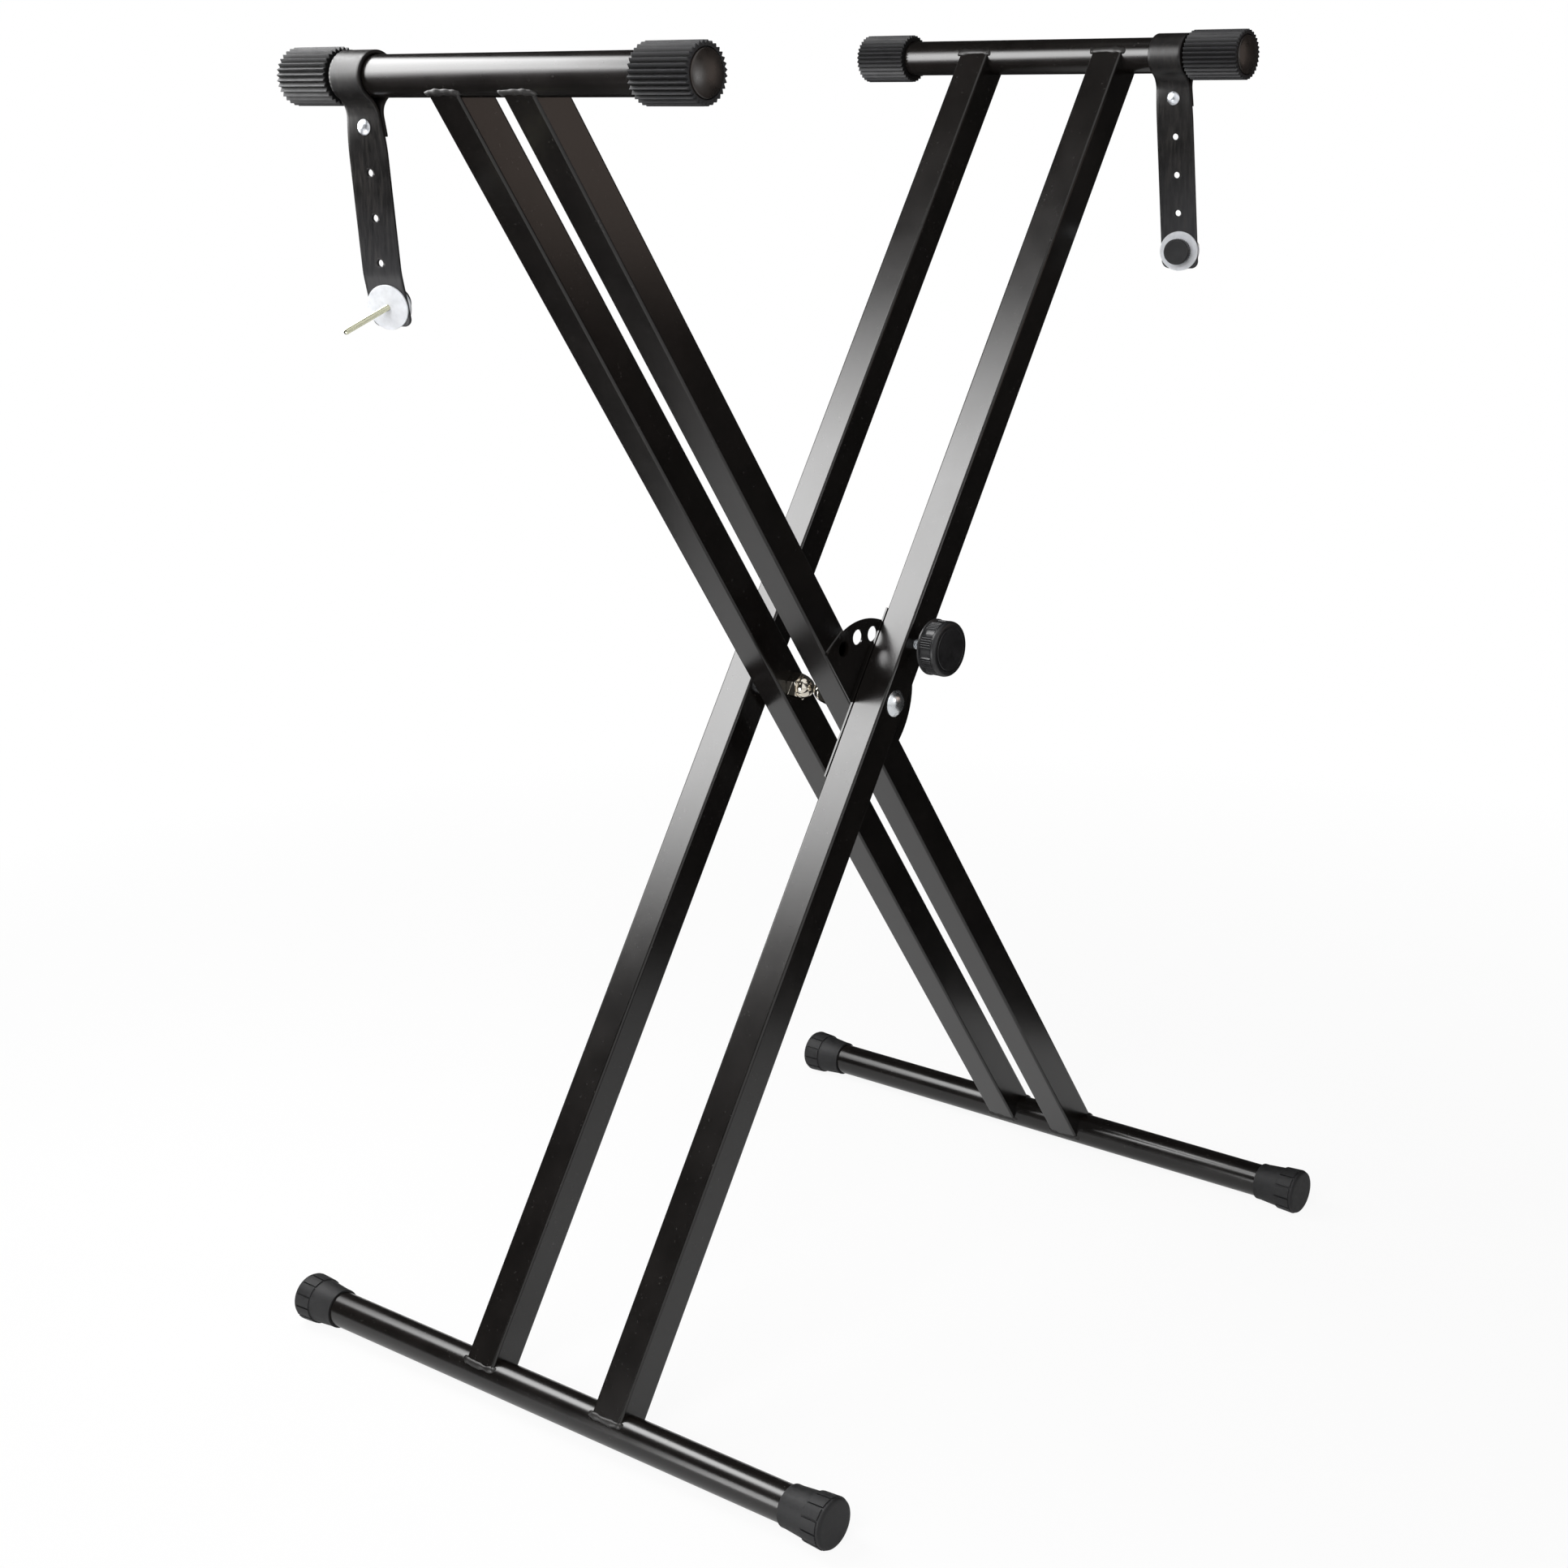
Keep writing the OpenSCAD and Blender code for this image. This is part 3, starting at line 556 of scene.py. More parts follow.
class STAND_OT_caps(bpy.types.Operator):
    """Makes the ribbed top caps and the domed plugs in the tubes' ends"""
    bl_idname = "stand.caps"
    bl_label = "Ribbed caps and plugs"

    def execute(self, context):
        sizes = context.scene.stand_sizes
        count, height = sizes.rib_count, sizes.rib_height / MM
        foot = CAP_CREST_R - height
        low, high = TOP_HALF + CAP_OVER - CAP_LEN, TOP_HALF + CAP_OVER
        bore, mouth = TUBE_R + SEAT_GAP, TUBE_R + 1.5
        outline = softened([
            (bore, low, 0.4), (foot, low, 0.6, 1), (foot, high, 0.8, 1),
            (mouth, high, 0.4), (mouth, TOP_HALF, 0), (bore, TOP_HALF, 0)], closed=True)
        crest, blunt = 0.4, 0.95
        phases = np.array([0, 0.05, 0.2, 0.34, 0.385, 0.415, 0.46, 0.65, 0.85, 0.95])
        angles = ((np.arange(count)[:, None] + phases) / count * TURN).ravel()

        def saw_teeth(r, h, share, a):
            """r plus a tooth that rises to its crest and falls more slowly, with a blunt tip."""
            phase = (a * count / TURN) % 1
            tooth = np.where(phase < crest, phase / crest, (1 - phase) / (1 - crest))
            rounded = np.minimum(tooth, blunt + 0.3 * (tooth - blunt))
            return r + share * height * rounded

        head, stem, stem_end = TUBE_R + 1, TUBE_R - 1.52, TOP_HALF - 14
        dome_rim, dome_top, dome_fall = high + 0.6, high + 3.2, 2.5
        dome = [(head * t, dome_top - dome_fall * t ** 2, 0) for t in np.linspace(0, 0.86, 12)]
        plug = softened([
            *dome, (head, dome_rim, 1.0), (head, TOP_HALF, 0), (stem, TOP_HALF, 0), (stem, stem_end, 0),
            (0, stem_end, 0)])
        for side, near in ENDS:
            where = along_tube(side * TOP_X, TOP_Z, near)
            name = end_name(side, near)
            node = "top_cap_" + name
            cap = placed(spun(outline, angles, saw_teeth, True), where)
            piece("ribbed_cap_" + name, [cap], BODY_OF[node], "ribbed_rubber", [node])
            node = "end_plug_" + name
            domed = placed(spun(plug[::-1]), where)
            piece("tube_plug_" + name, [domed], BODY_OF[node], "plug_plastic", [node])
        return {"FINISHED"}


class STAND_OT_feet(bpy.types.Operator):
    """Makes the rubber foot caps with their bands of tabs"""
    bl_idname = "stand.feet"
    bl_label = "Foot caps"

    def execute(self, context):
        tabs = 12
        lip, band, tab_end = FOOT_END - 39, FOOT_END - 17, FOOT_END - 3
        bore, collar, neck, rim = TUBE_R + SEAT_GAP, TUBE_R + 1.7, TUBE_R + 3.3, TUBE_R + 4.4
        outline = softened([
            (0, BASE_HALF, 0), (bore, BASE_HALF, 0), (bore, lip, 0), (collar, lip, 0.7),
            (collar, lip + 4, 0.8), (neck, band, 0.3), (rim, band, 0.4, 1), (FOOT_R, tab_end, 0.5, 1),
            (rim, tab_end, 0.2), (rim, FOOT_END - 0.5, 1.6), (TUBE_R + 1.5, FOOT_END, 0.5),
            (0, FOOT_END, 0)])
        phases = np.array([0, 0.06, 0.085, 0.12, 0.3, 0.5, 0.7, 0.88, 0.915, 0.94])
        angles = ((np.arange(tabs)[:, None] + phases) / tabs * TURN).ravel()
        gap_from, gap_slope, gap_depth = 0.415, 0.025, 1.3

        def tab_gaps(r, h, share, a):
            """r less the depth of the gap, where the angle is further than gap_from from a tab's middle."""
            phase = np.abs((a * tabs / TURN) % 1 - 0.5)
            gap = np.clip((phase - gap_from) / gap_slope, 0, 1)
            return r - share * gap * gap_depth

        for side, near in ENDS:
            name = end_name(side, near)
            node = "foot_cap_" + name
            points, faces = placed(spun(outline, angles, tab_gaps), along_tube(side * BASE_X, BASE_Z, near))
            points[:, 2] = np.maximum(points[:, 2], 0)
            piece("rubber_foot_" + name, [(points, faces)], BODY_OF[node], "foot_rubber", [node])
        return {"FINISHED"}


def bead(path, outward, tall, proud, seed):
    """A weld bead: an oval carried along a path, whose size ripples like laid metal and closes at both ends.

    Its size is (1 + a sum of sines of s) * sqrt(1 - |2 s - 1|^8), where s runs from 0 to 1 along the path.
    """
    dice = np.random.default_rng(seed)
    count, around, smoothings = 64, 14, 6
    s = np.linspace(0, 1, count)
    path = np.array(path, float)
    outward = np.array(outward, float)
    spots = np.stack([np.interp(s, np.linspace(0, 1, len(path)), axis) for axis in path.T], -1)
    for _ in range(smoothings):
        spots[1:-1] = (spots[:-2] + 2 * spots[1:-1] + spots[2:]) / 4
    waves = (1, 2, 3, 5, 8)
    ripple = sum(dice.uniform(0.05, 0.12) * np.sin(TURN * (k * s + dice.uniform())) for k in waves)
    size = (1 + ripple) * np.sqrt(np.clip(1 - np.abs(2 * s - 1) ** 8, 0, 1))
    along = np.gradient(spots, axis=0)
    along /= np.linalg.norm(along, axis=1)[:, None]
    out = outward - along * (along @ outward)[:, None]
    out /= np.linalg.norm(out, axis=1)[:, None]
    aside = np.cross(along, out)
    a = np.arange(around) * TURN / around
    offset = out[:, None] * np.cos(a)[:, None] * proud + aside[:, None] * np.sin(a)[:, None] * tall
    points = spots[:, None] + offset * size[:, None, None]
    return points.reshape(-1, 3), quads(count, around)


class STAND_OT_welds(bpy.types.Operator):
    """Lays the weld beads where the arms meet their tubes"""
    bl_idname = "stand.welds"
    bl_label = "Weld beads"

    def execute(self, context):
        tall = context.scene.stand_sizes.bead_radius / MM
        proud = 0.5 * tall
        wide = ARM_HALF - 0.5
        for side, arm_y, body in ((1, OUTER_Y, "outer_frame"), (-1, INNER_Y, "inner_frame")):
            parts = []
            seams = [(y, end, face) for y in (-arm_y, arm_y) for end in (-1, 1) for face in (-1, 1)]
            for k, (y, end, face) in enumerate(seams):
                edge = end * ((TOP_REACH if end > 0 else BASE_REACH) - ARM_STOP)
                x = face * (ARM_HALF - 0.3)
                corner_x, round_x = x - face * 0.6, face * (ARM_HALF - 3.5)
                path = [
                    (round_x, y - wide - 1.2, edge - end * 1.0), (corner_x, y - wide - 1.3, edge),
                    (x, y - wide, edge + end * 1.4), (x, y - 5, edge + end * 2.0),
                    (x, y + 5, edge + end * 1.9), (x, y + wide, edge + end * 1.3),
                    (corner_x, y + wide + 1.3, edge), (round_x, y + wide + 1.2, edge - end * 1.0)]
                seed = 211 + 5 * k + 100 * side
                parts.append(placed(bead(path, (face, 0, 0), tall, proud, seed), lean(side)))
            piece("weld_beads_" + body, parts, body, "black_powder_coat", sharp=60, finish="weld_coat")
        return {"FINISHED"}


class STAND_OT_pivots(bpy.types.Operator):
    """Makes the pivot bolts with their domed heads and the acorn nuts"""
    bl_idname = "stand.pivots"
    bl_label = "Pivot bolts and nuts"

    def execute(self, context):
        out, inside = OUTER_Y + ARM_HALF, INNER_Y - ARM_HALF
        seat, bolt_end = out + SEAT_GAP, inside - 12
        head_r, head_h, shank = 10.5, 5.5, 5.0
        ball = (head_r ** 2 + head_h ** 2) / (2 * head_h)
        lift = np.linspace(0, np.arcsin(head_r / ball), 14)
        cap = [(ball * np.sin(t), seat + head_h - ball * (1 - np.cos(t)), 0) for t in lift]
        head = softened([
            *cap[:-1], (head_r, out + 0.5, 0.3), (head_r - 0.3, seat, 0.2), (shank, seat, 0),
            (shank, bolt_end, 0), (0, bolt_end, 0)])
        apothem, hex_h, dome_r, straight, face_rim = 9.5, 9.0, 8.5, 1.25, 8.6
        cone_out, cone_slope = 0.25, 1.7
        hex_rows = (0.02, 0.25, 0.6, 1.0, 1.5, 3, 5, 7.1, 7.7, 8.1, 8.4, 8.7, 8.98)
        arc = np.linspace(0, np.pi / 2, 14)
        dome = [(dome_r * np.cos(t), hex_h + straight + dome_r * np.sin(t), 0) for t in arc]
        nut = np.concatenate([
            softened([(0, 0.35, 0), (face_rim, 0.35, 0), (face_rim, 0, 0), (apothem * 1.16, 0, 0, 1)]),
            [(apothem * 1.2, h, 1) for h in hex_rows],
            softened([
                (apothem, hex_h, 0), (dome_r + 0.15, hex_h + 0.02, 0), (dome_r - 0.25, hex_h + 0.5, 0),
                (dome_r, hex_h + straight, 0), *dome[1:]])])

        def hexagon(r, h, share, a):
            """r = apothem / cos(angle from the flat's middle), cut by a cone at both ends."""
            flat = apothem / np.cos((a + TURN / 12) % (TURN / 6) - TURN / 12)
            cone = apothem + cone_out + cone_slope * np.minimum(h + 0.12, hex_h + 0.05 - h)
            return np.where(share > 0.5, np.minimum(flat, cone), r + 0 * a)

        for near in (True, False):
            where = along_tube(0, PIVOT_Z, near)
            end = "near" if near else "far"
            node = "pivot_bolt_" + end
            bolt = placed(spun(head[::-1], 64), where)
            piece("carriage_bolt_" + end, [bolt], BODY_OF[node], "zinc_plate", [node])
            node = "pivot_nut_" + end
            cap_nut = placed(spun(nut, 96, hexagon), where, moved(0, 0, inside - 0.1), turned("X", 180))
            piece("acorn_nut_" + end, [cap_nut], BODY_OF[node], "chrome", [node], sharp=24)
        return {"FINISHED"}


class STAND_OT_lock(bpy.types.Operator):
    """Makes the locking bolt's thread and the locking knob with its ridged pads"""
    bl_idname = "stand.lock"
    bl_label = "Locking bolt and knob"

    def execute(self, context):
        out = OUTER_Y + ARM_HALF
        short_of_latch = 0.3
        tip = OUTER_Y - ARM_HALF - PLATE_T - LATCH_GAP + short_of_latch
        bolt_r, pitch, bolt_out, knob_out = 4.0, 1.25, 27, 16
        bolt = placed(threaded(tip, out + bolt_out, bolt_r, pitch, 40), lock_axis())
        piece("locking_thread", [bolt], BODY_OF["locking_bolt"], "zinc_plate", ["locking_bolt"], sharp=50)
        r, length, pads, share_of_pad, ridges = 21.5, 16.5, 8, 0.57, 5
        bore, bore_end, boss, groove = 4.05, 11.1, 7.2, length - 0.45
        outline = softened([
            (0, bore_end, 0), (bore, bore_end, 0), (bore, 0, 0.3), (boss, 0, 0.3), (boss, 0.7, 0.2),
            (r - 1.2, 0.7, 0.2), (r - 0.6, 0, 0.3), (r + 0.3, 0, 0.35), (r + 0.3, 1.4, 0.3),
            (r - 0.6, 1.7, 0.2), (r - 0.3, 2.2, 0.2, 1), (r - 0.1, length - 4.6, 0.4, 1),
            (r, length - 3.9, 0.4), (r, length, 3.8), (r - 4.4, length - 0.1, 0.3), (r - 4.7, groove, 0.15),
            (r - 5.1, groove, 0.15), (r - 5.4, length - 0.1, 0.15), (0, length, 0)], steps=6)
        ridge_depth = 0.95
        on_pad = np.linspace(0, share_of_pad, ridges * 8 + 1)
        on_hollow = np.linspace(share_of_pad, 1, 18)[1:-1]
        phases = np.concatenate([on_pad, on_hollow])
        angles = ((np.arange(pads)[:, None] + phases) / pads * TURN).ravel()

        def grips(radius, h, share, a):
            """The radius less ridge_depth (1 - wave)^2 beside a ridge, or a sine hollow between pads."""
            phase = (a * pads / TURN) % 1
            on = phase <= share_of_pad + 1e-9
            wave = 0.5 - 0.5 * np.cos(TURN * ridges * phase / share_of_pad)
            hollow = np.sin(np.pi * np.clip((phase - share_of_pad) / (1 - share_of_pad), 0, 1)) ** 0.8
            return radius - share * np.where(on, ridge_depth * (1 - wave) ** 2, ridge_depth + hollow)

        knob = placed(spun(outline, angles, grips), lock_axis(), moved(0, 0, out + knob_out))
        piece("grip_knob", [knob], BODY_OF["locking_knob"], "knob_plastic", ["locking_knob"], sharp=40)
        return {"FINISHED"}


def smooth(t):
    """Eases from 0 to 1: 3t^2 - 2t^3, held outside."""
    s = np.clip(t, 0, 1)
    return s * s * (3 - 2 * s)


def yaw_at(down):
    """Turn of the strap about the vertical at a depth: it eases in from YAW_FROM over YAW_OVER."""
    return STRAP_YAW * smooth((down - YAW_FROM) / YAW_OVER)


def slip_at(down):
    """Sideways shift of the strap at a depth: the tangent of its lean times the depth past LEAN_FROM."""
    return np.tan(np.radians(STRAP_LEAN)) * np.maximum(down - LEAN_FROM, 0)


def hung(u, v, z):
    """Points across the thickness (u), across the width (v) and up (z), turned and leaned as the strap hangs.

    With w = v - slip, x = u cos a - w sin a and y = u sin a + w cos a, where a is the yaw at the depth.
    """
    a, w = np.radians(yaw_at(-z)), v - slip_at(-z)
    return np.stack([u * np.cos(a) - w * np.sin(a), u * np.sin(a) + w * np.cos(a), z], -1)


def on_strap(x, y, down):
    """Frame square to the strap at a depth, with Z across it."""
    turn = turned("Z", yaw_at(down))
    return moved(x, y, TOP_Z - down) @ turn @ moved(0, -slip_at(down), 0) @ turned("Y", 90)


def bent(along, bend):
    """Points of the hanging layer after a length along it: u, z, outward u, outward z.

    Straight down, then an arc of radius R = length / angle through the bend, then straight again. A strap
    that isn't bent has an arc so slight that it is straight.
    """
    least = 1e-6
    angle = max(np.radians(bend), least)
    b = angle * np.clip((along - BEND_FROM) / (BEND_TO - BEND_FROM), 0, 1)
    r = (BEND_TO - BEND_FROM) / angle
    rest = np.maximum(along - BEND_TO, 0)
    before = np.minimum(along, BEND_FROM)
    return np.stack([
        r * (1 - np.cos(b)) + rest * np.sin(b) - LAYER_U, -before - r * np.sin(b) - rest * np.cos(b),
        -np.cos(b), -np.sin(b)], -1)


def on_screw(x, y, bend):
    """Frame along a strap screw, with Z towards its knob; only the left strap is bent, at its screw."""
    u, z = bent(np.array(SCREW_DOWN), bend)[:2]
    return on_strap(x, y, -z) @ moved(0, 0, u) @ turned("Y", -bend) @ turned("X", 0 if bend else 180)


def strap_stations(bend):
    """Rows of the strap's path from its short end, round the tube and down: u, z, outward u, outward z, rise.

    Straight runs, an arc of radius R round the tube, and two arcs that blend it into the pinch, each of the
    radius that touches both. The rise is the distance from the band's end, and inner wherever that is far.
    """
    pinch, tail_end = 27.0, RIVET_DOWN + 6.5
    step, inner = 1.25, 9
    loop_r = TUBE_R + 0.3 + STRAP_T / 2
    blend_r = (pinch ** 2 / (loop_r - LAYER_U) - (loop_r + LAYER_U)) / 2
    touch = np.arctan2(pinch, LAYER_U + blend_r)
    rounded = tail_end - np.array([0, 0.02, 0.15, 0.4, 0.8])
    tail = np.concatenate([rounded, np.linspace(tail_end - 1.3, pinch, 12)[:-1]])
    up = np.stack([LAYER_U + 0 * tail, -tail, 1 + 0 * tail, 0 * tail, tail_end - tail], -1)
    a = np.linspace(0, touch, 20)[:-1]
    blend_u, blend_z = LAYER_U + blend_r * (1 - np.cos(a)), blend_r * np.sin(a) - pinch
    blend = np.stack([blend_u, blend_z, np.cos(a), -np.sin(a), inner + 0 * a], -1)
    b = np.linspace(-touch, np.pi + touch, 80)
    loop = np.stack([loop_r * np.cos(b), loop_r * np.sin(b), np.cos(b), np.sin(b), inner + 0 * b], -1)
    back = (blend * [-1, 1, -1, 1, 1])[::-1]
    run = np.arange(pinch + step, STRAP_END - STRAP_ROUND, step)
    down = np.concatenate([run, STRAP_END - STRAP_ROUND * np.linspace(1, 0, 18) ** 2])
    rise = np.where(down > HANGS_FREE, STRAP_END - down, inner)
    return np.concatenate([up, blend, loop, back, np.column_stack([bent(down, bend), rise])])


class STAND_OT_straps(bpy.types.Operator):
    """Makes the rubber straps with their holes, rivets, washers, screws and knurled knobs"""
    bl_idname = "stand.straps"
    bl_label = "Straps"

    def strap(self, side, x, y, edge, bend):
        """A rounded band carried along the path: corner arcs of the edge's radius join its two faces.

        Towards an end its thickness falls as a quarter circle, and at the hanging end so does its width, by
        R - sqrt(R^2 - (R - rise)^2). The holes are then cut through it.
        """
        u, z, out_u, out_z, rise = strap_stations(bend).T[..., None]
        quarter = STRAP_ROUND - np.sqrt(np.clip(STRAP_ROUND ** 2 - (STRAP_ROUND - rise) ** 2, 0, None))
        half = STRAP_HALF - np.where((rise < STRAP_ROUND) & (-z > HANGS_FREE), quarter, 0)
        blunting = 0.8
        thick = STRAP_T / 2 * np.sqrt(np.clip(1 - np.clip(1 - rise / blunting, 0, 1) ** 2, 0, 1))
        arc = np.linspace(-np.pi / 2, np.pi / 2, 8)
        flat = np.linspace(-1, 1, 15)[1:-1]
        lift = np.concatenate([np.ones(len(flat)), np.sin(-arc), -np.ones(len(flat)), np.sin(arc)])
        wide = np.concatenate([flat, np.ones(len(arc)), -flat, -np.ones(len(arc))])
        bulge = np.concatenate([0 * flat, np.cos(arc), 0 * flat, -np.cos(arc)])
        n = lift[None] * thick
        v = wide[None] * (half - edge) + bulge[None] * edge
        points = hung(u + n * out_u, v, z + n * out_z) + [x, y, TOP_Z]
        made = piece("strap_band_" + side, [(points.reshape(-1, 3), quads(*v.shape)[:, ::-1])],
                     BODY_OF["strap_" + side], "strap_rubber", ["strap_" + side], sharp=50)
        hole_r, through = 2.5, 8
        pin = spun([(0, -through, 0), (hole_r, -through, 0), (hole_r, through, 0), (0, through, 0)], 40)
        pins = [placed(pin, on_strap(x, y, down)) for down in HOLES_DOWN]
        punch = piece("punch_" + side, pins, BODY_OF["strap_" + side], "strap_rubber")
        cut = made.modifiers.new("Holes", "BOOLEAN")
        cut.operation, cut.solver, cut.object = "DIFFERENCE", "EXACT", punch
        graph = bpy.context.evaluated_depsgraph_get()
        holed = bpy.data.meshes.new_from_object(made.evaluated_get(graph))
        made.modifiers.clear()
        made.data = holed
        bpy.data.objects.remove(punch)

    def execute(self, context):
        edge = context.scene.stand_sizes.strap_edge / MM
        rivet_head = [
            (0, 4.95, 0), (1.2, 4.9, 0), (2.4, 4.72, 0), (3.5, 4.4, 0), (4.4, 3.98, 0), (5.2, 3.4, 0.3),
            (5.5, 2.93, 0.15), (2, 2.93, 0)]
        rivet = softened([*rivet_head, *((r, -h, rounding) for r, h, rounding in rivet_head[::-1])])
        face = STRAP_T / 2 + SEAT_GAP
        stack = STRAP_T / 2 + WASHER_T + SEAT_GAP
        washer_bore, washer_r = 2.1, 15.75
        washer = softened([
            (washer_bore, face, 0.2), (washer_r, face, 0.45), (washer_r, stack, 0.45),
            (washer_bore, stack, 0.2)], closed=True)
        knob_bore, bore_end, knob_h, grip_r = 2.05, 7.02, 10, 10.05
        thumb = softened([
            (0, bore_end, 0), (knob_bore, bore_end, 0), (knob_bore, 0, 0.2), (9.5, 0, 0.3),
            (grip_r, 0.5, 0.3, 1), (grip_r, 8.3, 0.3, 1), (10.25, 8.6, 0.2), (10.2, knob_h, 1.3),
            (0, knob_h, 0)])
        knurls, knurl_depth, per_knurl = 36, 0.6, 6
        screw_r, screw_pitch, screw_free, screw_in_knob = 2.0, 0.7, 56, 7.1

        def knurled(r, h, share, a):
            """r less the depth times (half a cosine wave)^1.4, which makes round ridges."""
            wave = 0.5 - 0.5 * np.cos(a * knurls)
            return r - share * knurl_depth * wave ** 1.4

        for side, sign, bend in (("left", -1, STRAP_BEND), ("right", 1, 0)):
            x, y = sign * TOP_X, -sign * STRAP_Y
            self.strap(side, x, y, edge, bend)
            node = "strap_rivet_" + side
            pressed = placed(spun(rivet[::-1], 48), on_strap(x, y, RIVET_DOWN))
            piece("rivet_" + side, [pressed], BODY_OF[node], "rivet_steel", [node])
            screw = on_screw(x, y, bend)
            node = "strap_washers_" + side
            pair = [placed(spun(washer, 64, closed=True), screw, turned("X", turn)) for turn in (0, 180)]
            piece("nylon_washers_" + side, pair, BODY_OF[node], "nylon", [node])
            node = "strap_screw_" + side
            thread = threaded(-stack - screw_free, stack + screw_in_knob, screw_r, screw_pitch, 24)
            piece("thread_" + side, [placed(thread, screw)], BODY_OF[node], "zinc_plate", [node], sharp=50)
            node = "strap_knob_" + side
            knob = placed(spun(thumb, knurls * per_knurl, knurled), screw, moved(0, 0, stack + 0.1))
            piece("thumb_knob_" + side, [knob], BODY_OF[node], "knob_plastic", [node], sharp=40)
        return {"FINISHED"}


class STAND_OT_stage(bpy.types.Operator):
    """Sets the camera at the photograph's view, the floor, the lamps and the white surroundings"""
    bl_idname = "stand.stage"
    bl_label = "Studio"

    def camera(self, scene):
        """A camera that looks along its azimuth and elevation, turned by its roll about that line."""
        azimuth, elevation, roll = np.radians((-50.134, 16.337, -1.145))
        ahead = np.array([-np.sin(azimuth) * np.cos(elevation), np.cos(azimuth) * np.cos(elevation),
                          -np.sin(elevation)])
        level = np.array([np.cos(azimuth), np.sin(azimuth), 0])
        upright = np.cross(level, ahead)
        right = np.cos(roll) * level + np.sin(roll) * upright
        up = np.cos(roll) * upright - np.sin(roll) * level
        data = bpy.data.cameras.new("Camera")
        data.sensor_width = 36
        data.lens = 58.382
        camera = bpy.data.objects.new("Camera", data)
        pose = np.eye(4)
        pose[:3, :3] = np.stack([right, up, -ahead], -1)
        pose[:3, 3] = (-1.5053, -1.2243, 0.9888)
        camera.matrix_world = Matrix(pose)
        scene.collection.objects.link(camera)
        scene.camera = camera

    def lamp(self, scene, name, spot, aim, size, power, roll, colour, hidden):
        """A soft rectangular lamp that faces its aim, and that one kind of ray may not see."""
        data = bpy.data.lights.new(name, "AREA")
        data.shape = "RECTANGLE"
        data.size, data.size_y = size
        data.energy = power
        data.color = colour
        made = bpy.data.objects.new(name, data)
        made.location = spot
        track = (Vector(aim) - Vector(spot)).to_track_quat("-Z", "Y")
        made.rotation_euler = (track @ Quaternion((0, 0, 1), np.radians(roll))).to_euler()
        made.visible_camera = False
        if hidden:
            setattr(made, "visible_" + hidden, False)
        scene.collection.objects.link(made)

    def sheet(self, scene, finish, points, rows, columns):
        """A sheet of the set, which is not part of the stand."""
        name = finish.material.name
        data = bpy.data.meshes.new(name)
        data.from_pydata(points.tolist(), [], quads(rows, columns, wrap_columns=False).tolist())
        data.materials.append(finish.material)
        made = bpy.data.objects.new(name, data)
        scene.collection.objects.link(made)
        return made

    def floor(self, scene):
        """White paper: the camera and reflections see it white, and it keeps the stand's shadow close by."""
        side = 6.0
        f = Finish("pale_floor")
        haze = f.spread(f.noise(180, 3, 0.5), 0.3, 0.7)
        paper = f.node("ShaderNodeBsdfDiffuse", None, {"Color": f.mix(haze, (0.80,) * 3, (0.84,) * 3)})
        white = f.node("ShaderNodeEmission", None, {"Color": (1, 1, 1), "Strength": 1.0})
        away = f.vector_math("LENGTH", f.place, out="Value")
        glossy = f.node("ShaderNodeLightPath", out="Is Glossy Ray")
        share = (f.shown() - glossy * 0.6) * f.spread(away, 0.6, 1.6, 0.92, 1.0)
        surface = f.node("ShaderNodeMixShader", None, {0: share, 1: paper, 2: white})
        f.node("ShaderNodeOutputMaterial", None, {"Surface": surface})
        corners = np.array([(-side, -side, 0), (side, -side, 0), (-side, side, 0), (side, side, 0)])
        self.sheet(scene, f, corners, 2, 2)

    def black_cloth(self, scene):
        """Black cloth past the right and back edges of the paper, which only reflections see.

        It lies on the floor from the paper's edge to the ring's radius, stands up and leans in at the top:
        each bearing b has four points (r cos b, r sin b, z).
        """
        bearings = np.radians(np.linspace(-85, 195, 94))
        right, behind, ring = 0.65, 0.6, 1.7
        least = 0.1
        across = np.maximum(np.cos(bearings) - 0.5 * np.sin(bearings), least)
        edge = np.minimum(right / across, behind / np.maximum(np.sin(bearings), least))
        edge = np.minimum(edge, ring - 0.01)
        top_ring, lying, wall_top, cloth_top = 0.8, 0.002, 1.7, 2.5
        r = np.stack([edge, ring + 0 * edge, ring + 0 * edge, top_ring + 0 * edge])
        z = np.array([lying, lying, wall_top, cloth_top])[:, None] + 0 * edge
        points = np.stack([r * np.cos(bearings), r * np.sin(bearings), z], -1).reshape(-1, 3)
        f = Finish("black_cloth")
        weave = f.spread(f.noise(3, 2, 0.5), 0.3, 0.7)
        cloth = f.node("ShaderNodeBsdfDiffuse", None, {"Color": f.mix(weave, (0.05,) * 3, (0.07,) * 3)})
        f.node("ShaderNodeOutputMaterial", None, {"Surface": cloth})
        made = self.sheet(scene, f, points, 4, len(bearings))
        for kind in ("camera", "diffuse", "transmission", "volume_scatter", "shadow"):
            setattr(made, "visible_" + kind, False)

    def surroundings(self, scene):
        """White for what is seen, and a little even light."""
        scene.world = bpy.data.worlds.new("Studio")
        f = Finish("Studio", scene.world)
        light = 0.2
        strength = f.shown() * (1 - light) + light
        back = f.node("ShaderNodeBackground", None, {"Color": (1, 1, 1), "Strength": strength})
        f.node("ShaderNodeOutputWorld", None, {"Surface": back})

    def execute(self, context):
        scene = context.scene
        scene.view_settings.view_transform = "Standard"
        self.camera(scene)
        spot, aim = Vector((-0.375, 0.664, 1.052)), Vector((0.03, 0, 0.6))
        along, roll = Vector((-0.369, -0.665, 0.649)), -41.4
        white, warm = (1, 1, 1), (1.0, 0.8, 0.7)
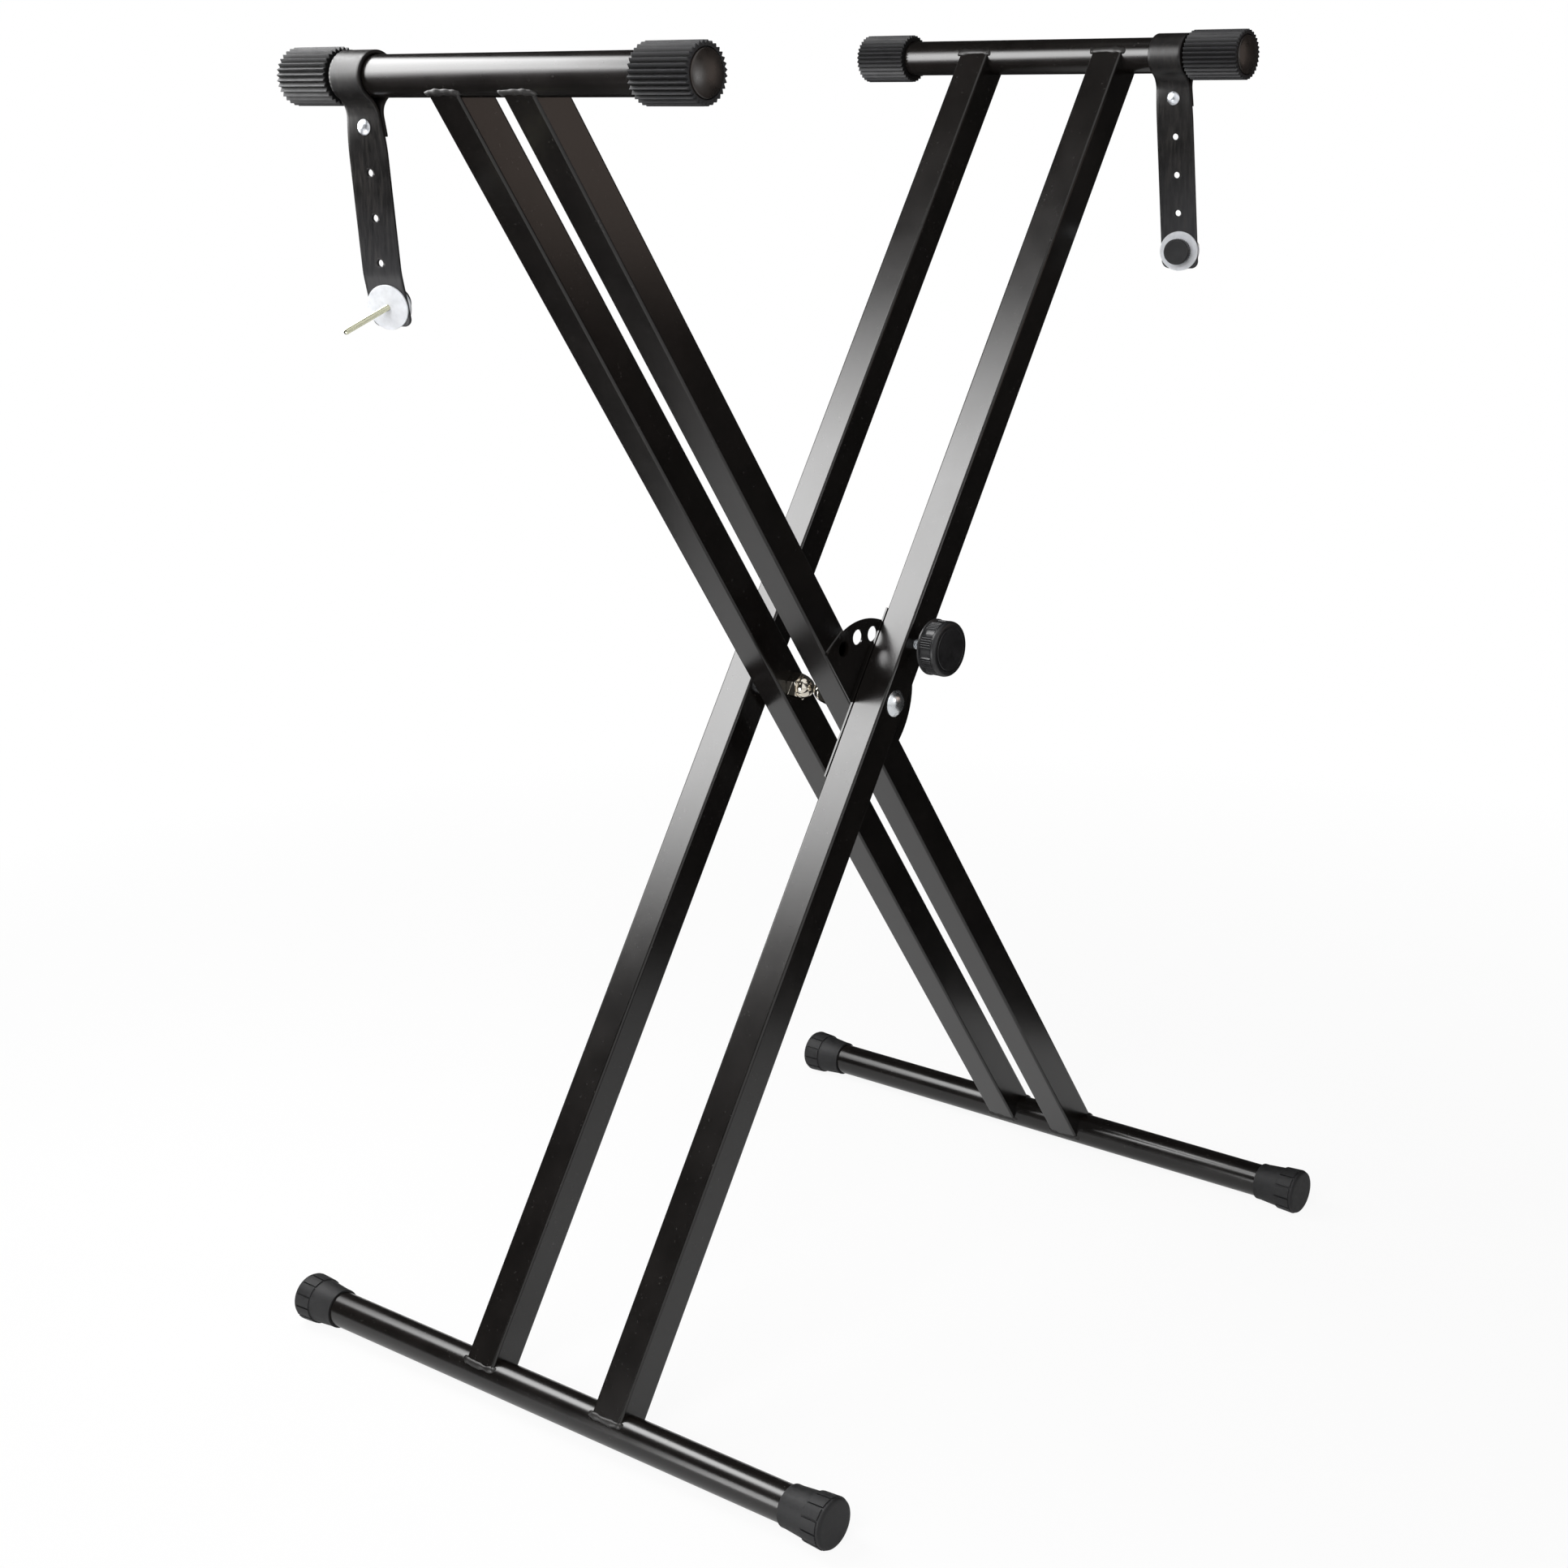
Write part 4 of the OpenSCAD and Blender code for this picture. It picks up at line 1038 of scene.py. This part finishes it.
        # Three sheets, one within the other, whose reflections add up to a box that fades towards its edge
        sheets = ((0.08, 0.72, 1.1, 3.6), (0.12, 0.58, 0.85, 4.4), (0.16, 0.44, 0.65, 4.4))
        for shift, wide, long, glow in sheets:
            start, end = spot + along * shift, aim + along * shift
            power = glow * np.pi * wide * long
            self.lamp(scene, "Softbox %.2f" % wide, start, end, (wide, long), power, roll, white, "diffuse")
        lamps = (
            ("Softbox on matt surfaces", spot, aim, (0.6, 1.15), 12, roll, white, "glossy"),
            ("Fill on matt surfaces", (-1.7, -0.5, 1.4), aim, (1.2, 1.2), 30, 0, white, "glossy"),
            ("Warm card", (0.65, -1.0, 0.98), (-0.1, 0, 0.88), (0.6, 0.5), 0.8, 0, warm, ""),
            ("Low softbox", (-1.28, 0.24, 0.2), (-0.32, -0.2, 0.02), (0.5, 0.48), 6.6, 0, white, "diffuse"),
            ("Front card", (0.03, -1.08, 0.9), (-0.32, -0.19, 0.97), (0.25, 0.3), 1.1, 0, white, "diffuse"),
        )
        for lamp in lamps:
            self.lamp(scene, *lamp)
        self.floor(scene)
        self.black_cloth(scene)
        self.surroundings(scene)
        return {"FINISHED"}


class STAND_PT_panel(bpy.types.Panel):
    """Lists the steps that dress the stand."""
    bl_idname = "STAND_PT_panel"
    bl_label = "Keyboard stand"
    bl_space_type = "VIEW_3D"
    bl_region_type = "UI"
    bl_category = "Stand"

    def draw(self, context):
        for group in (context.scene.stand_sizes, context.scene.stand_colours):
            for name in group.__annotations__:
                self.layout.prop(group, name)
        for step in STEPS:
            self.layout.operator(step.bl_idname)


STEPS = (STAND_OT_frame, STAND_OT_caps, STAND_OT_feet, STAND_OT_welds, STAND_OT_pivots, STAND_OT_lock,
         STAND_OT_straps, STAND_OT_stage)
CLASSES = (StandSizes, StandColours, *STEPS, STAND_PT_panel)


def register():
    for cls in CLASSES:
        bpy.utils.register_class(cls)
    bpy.types.Scene.stand_sizes = bpy.props.PointerProperty(type=StandSizes)
    bpy.types.Scene.stand_colours = bpy.props.PointerProperty(type=StandColours)


def unregister():
    del bpy.types.Scene.stand_colours
    del bpy.types.Scene.stand_sizes
    for cls in reversed(CLASSES):
        bpy.utils.unregister_class(cls)


def main():
    register()
    bpy.ops.stand.frame()
    bpy.ops.stand.caps()
    bpy.ops.stand.feet()
    bpy.ops.stand.welds()
    bpy.ops.stand.pivots()
    bpy.ops.stand.lock()
    bpy.ops.stand.straps()
    bpy.ops.stand.stage()


if __name__ == "__main__":
    main()
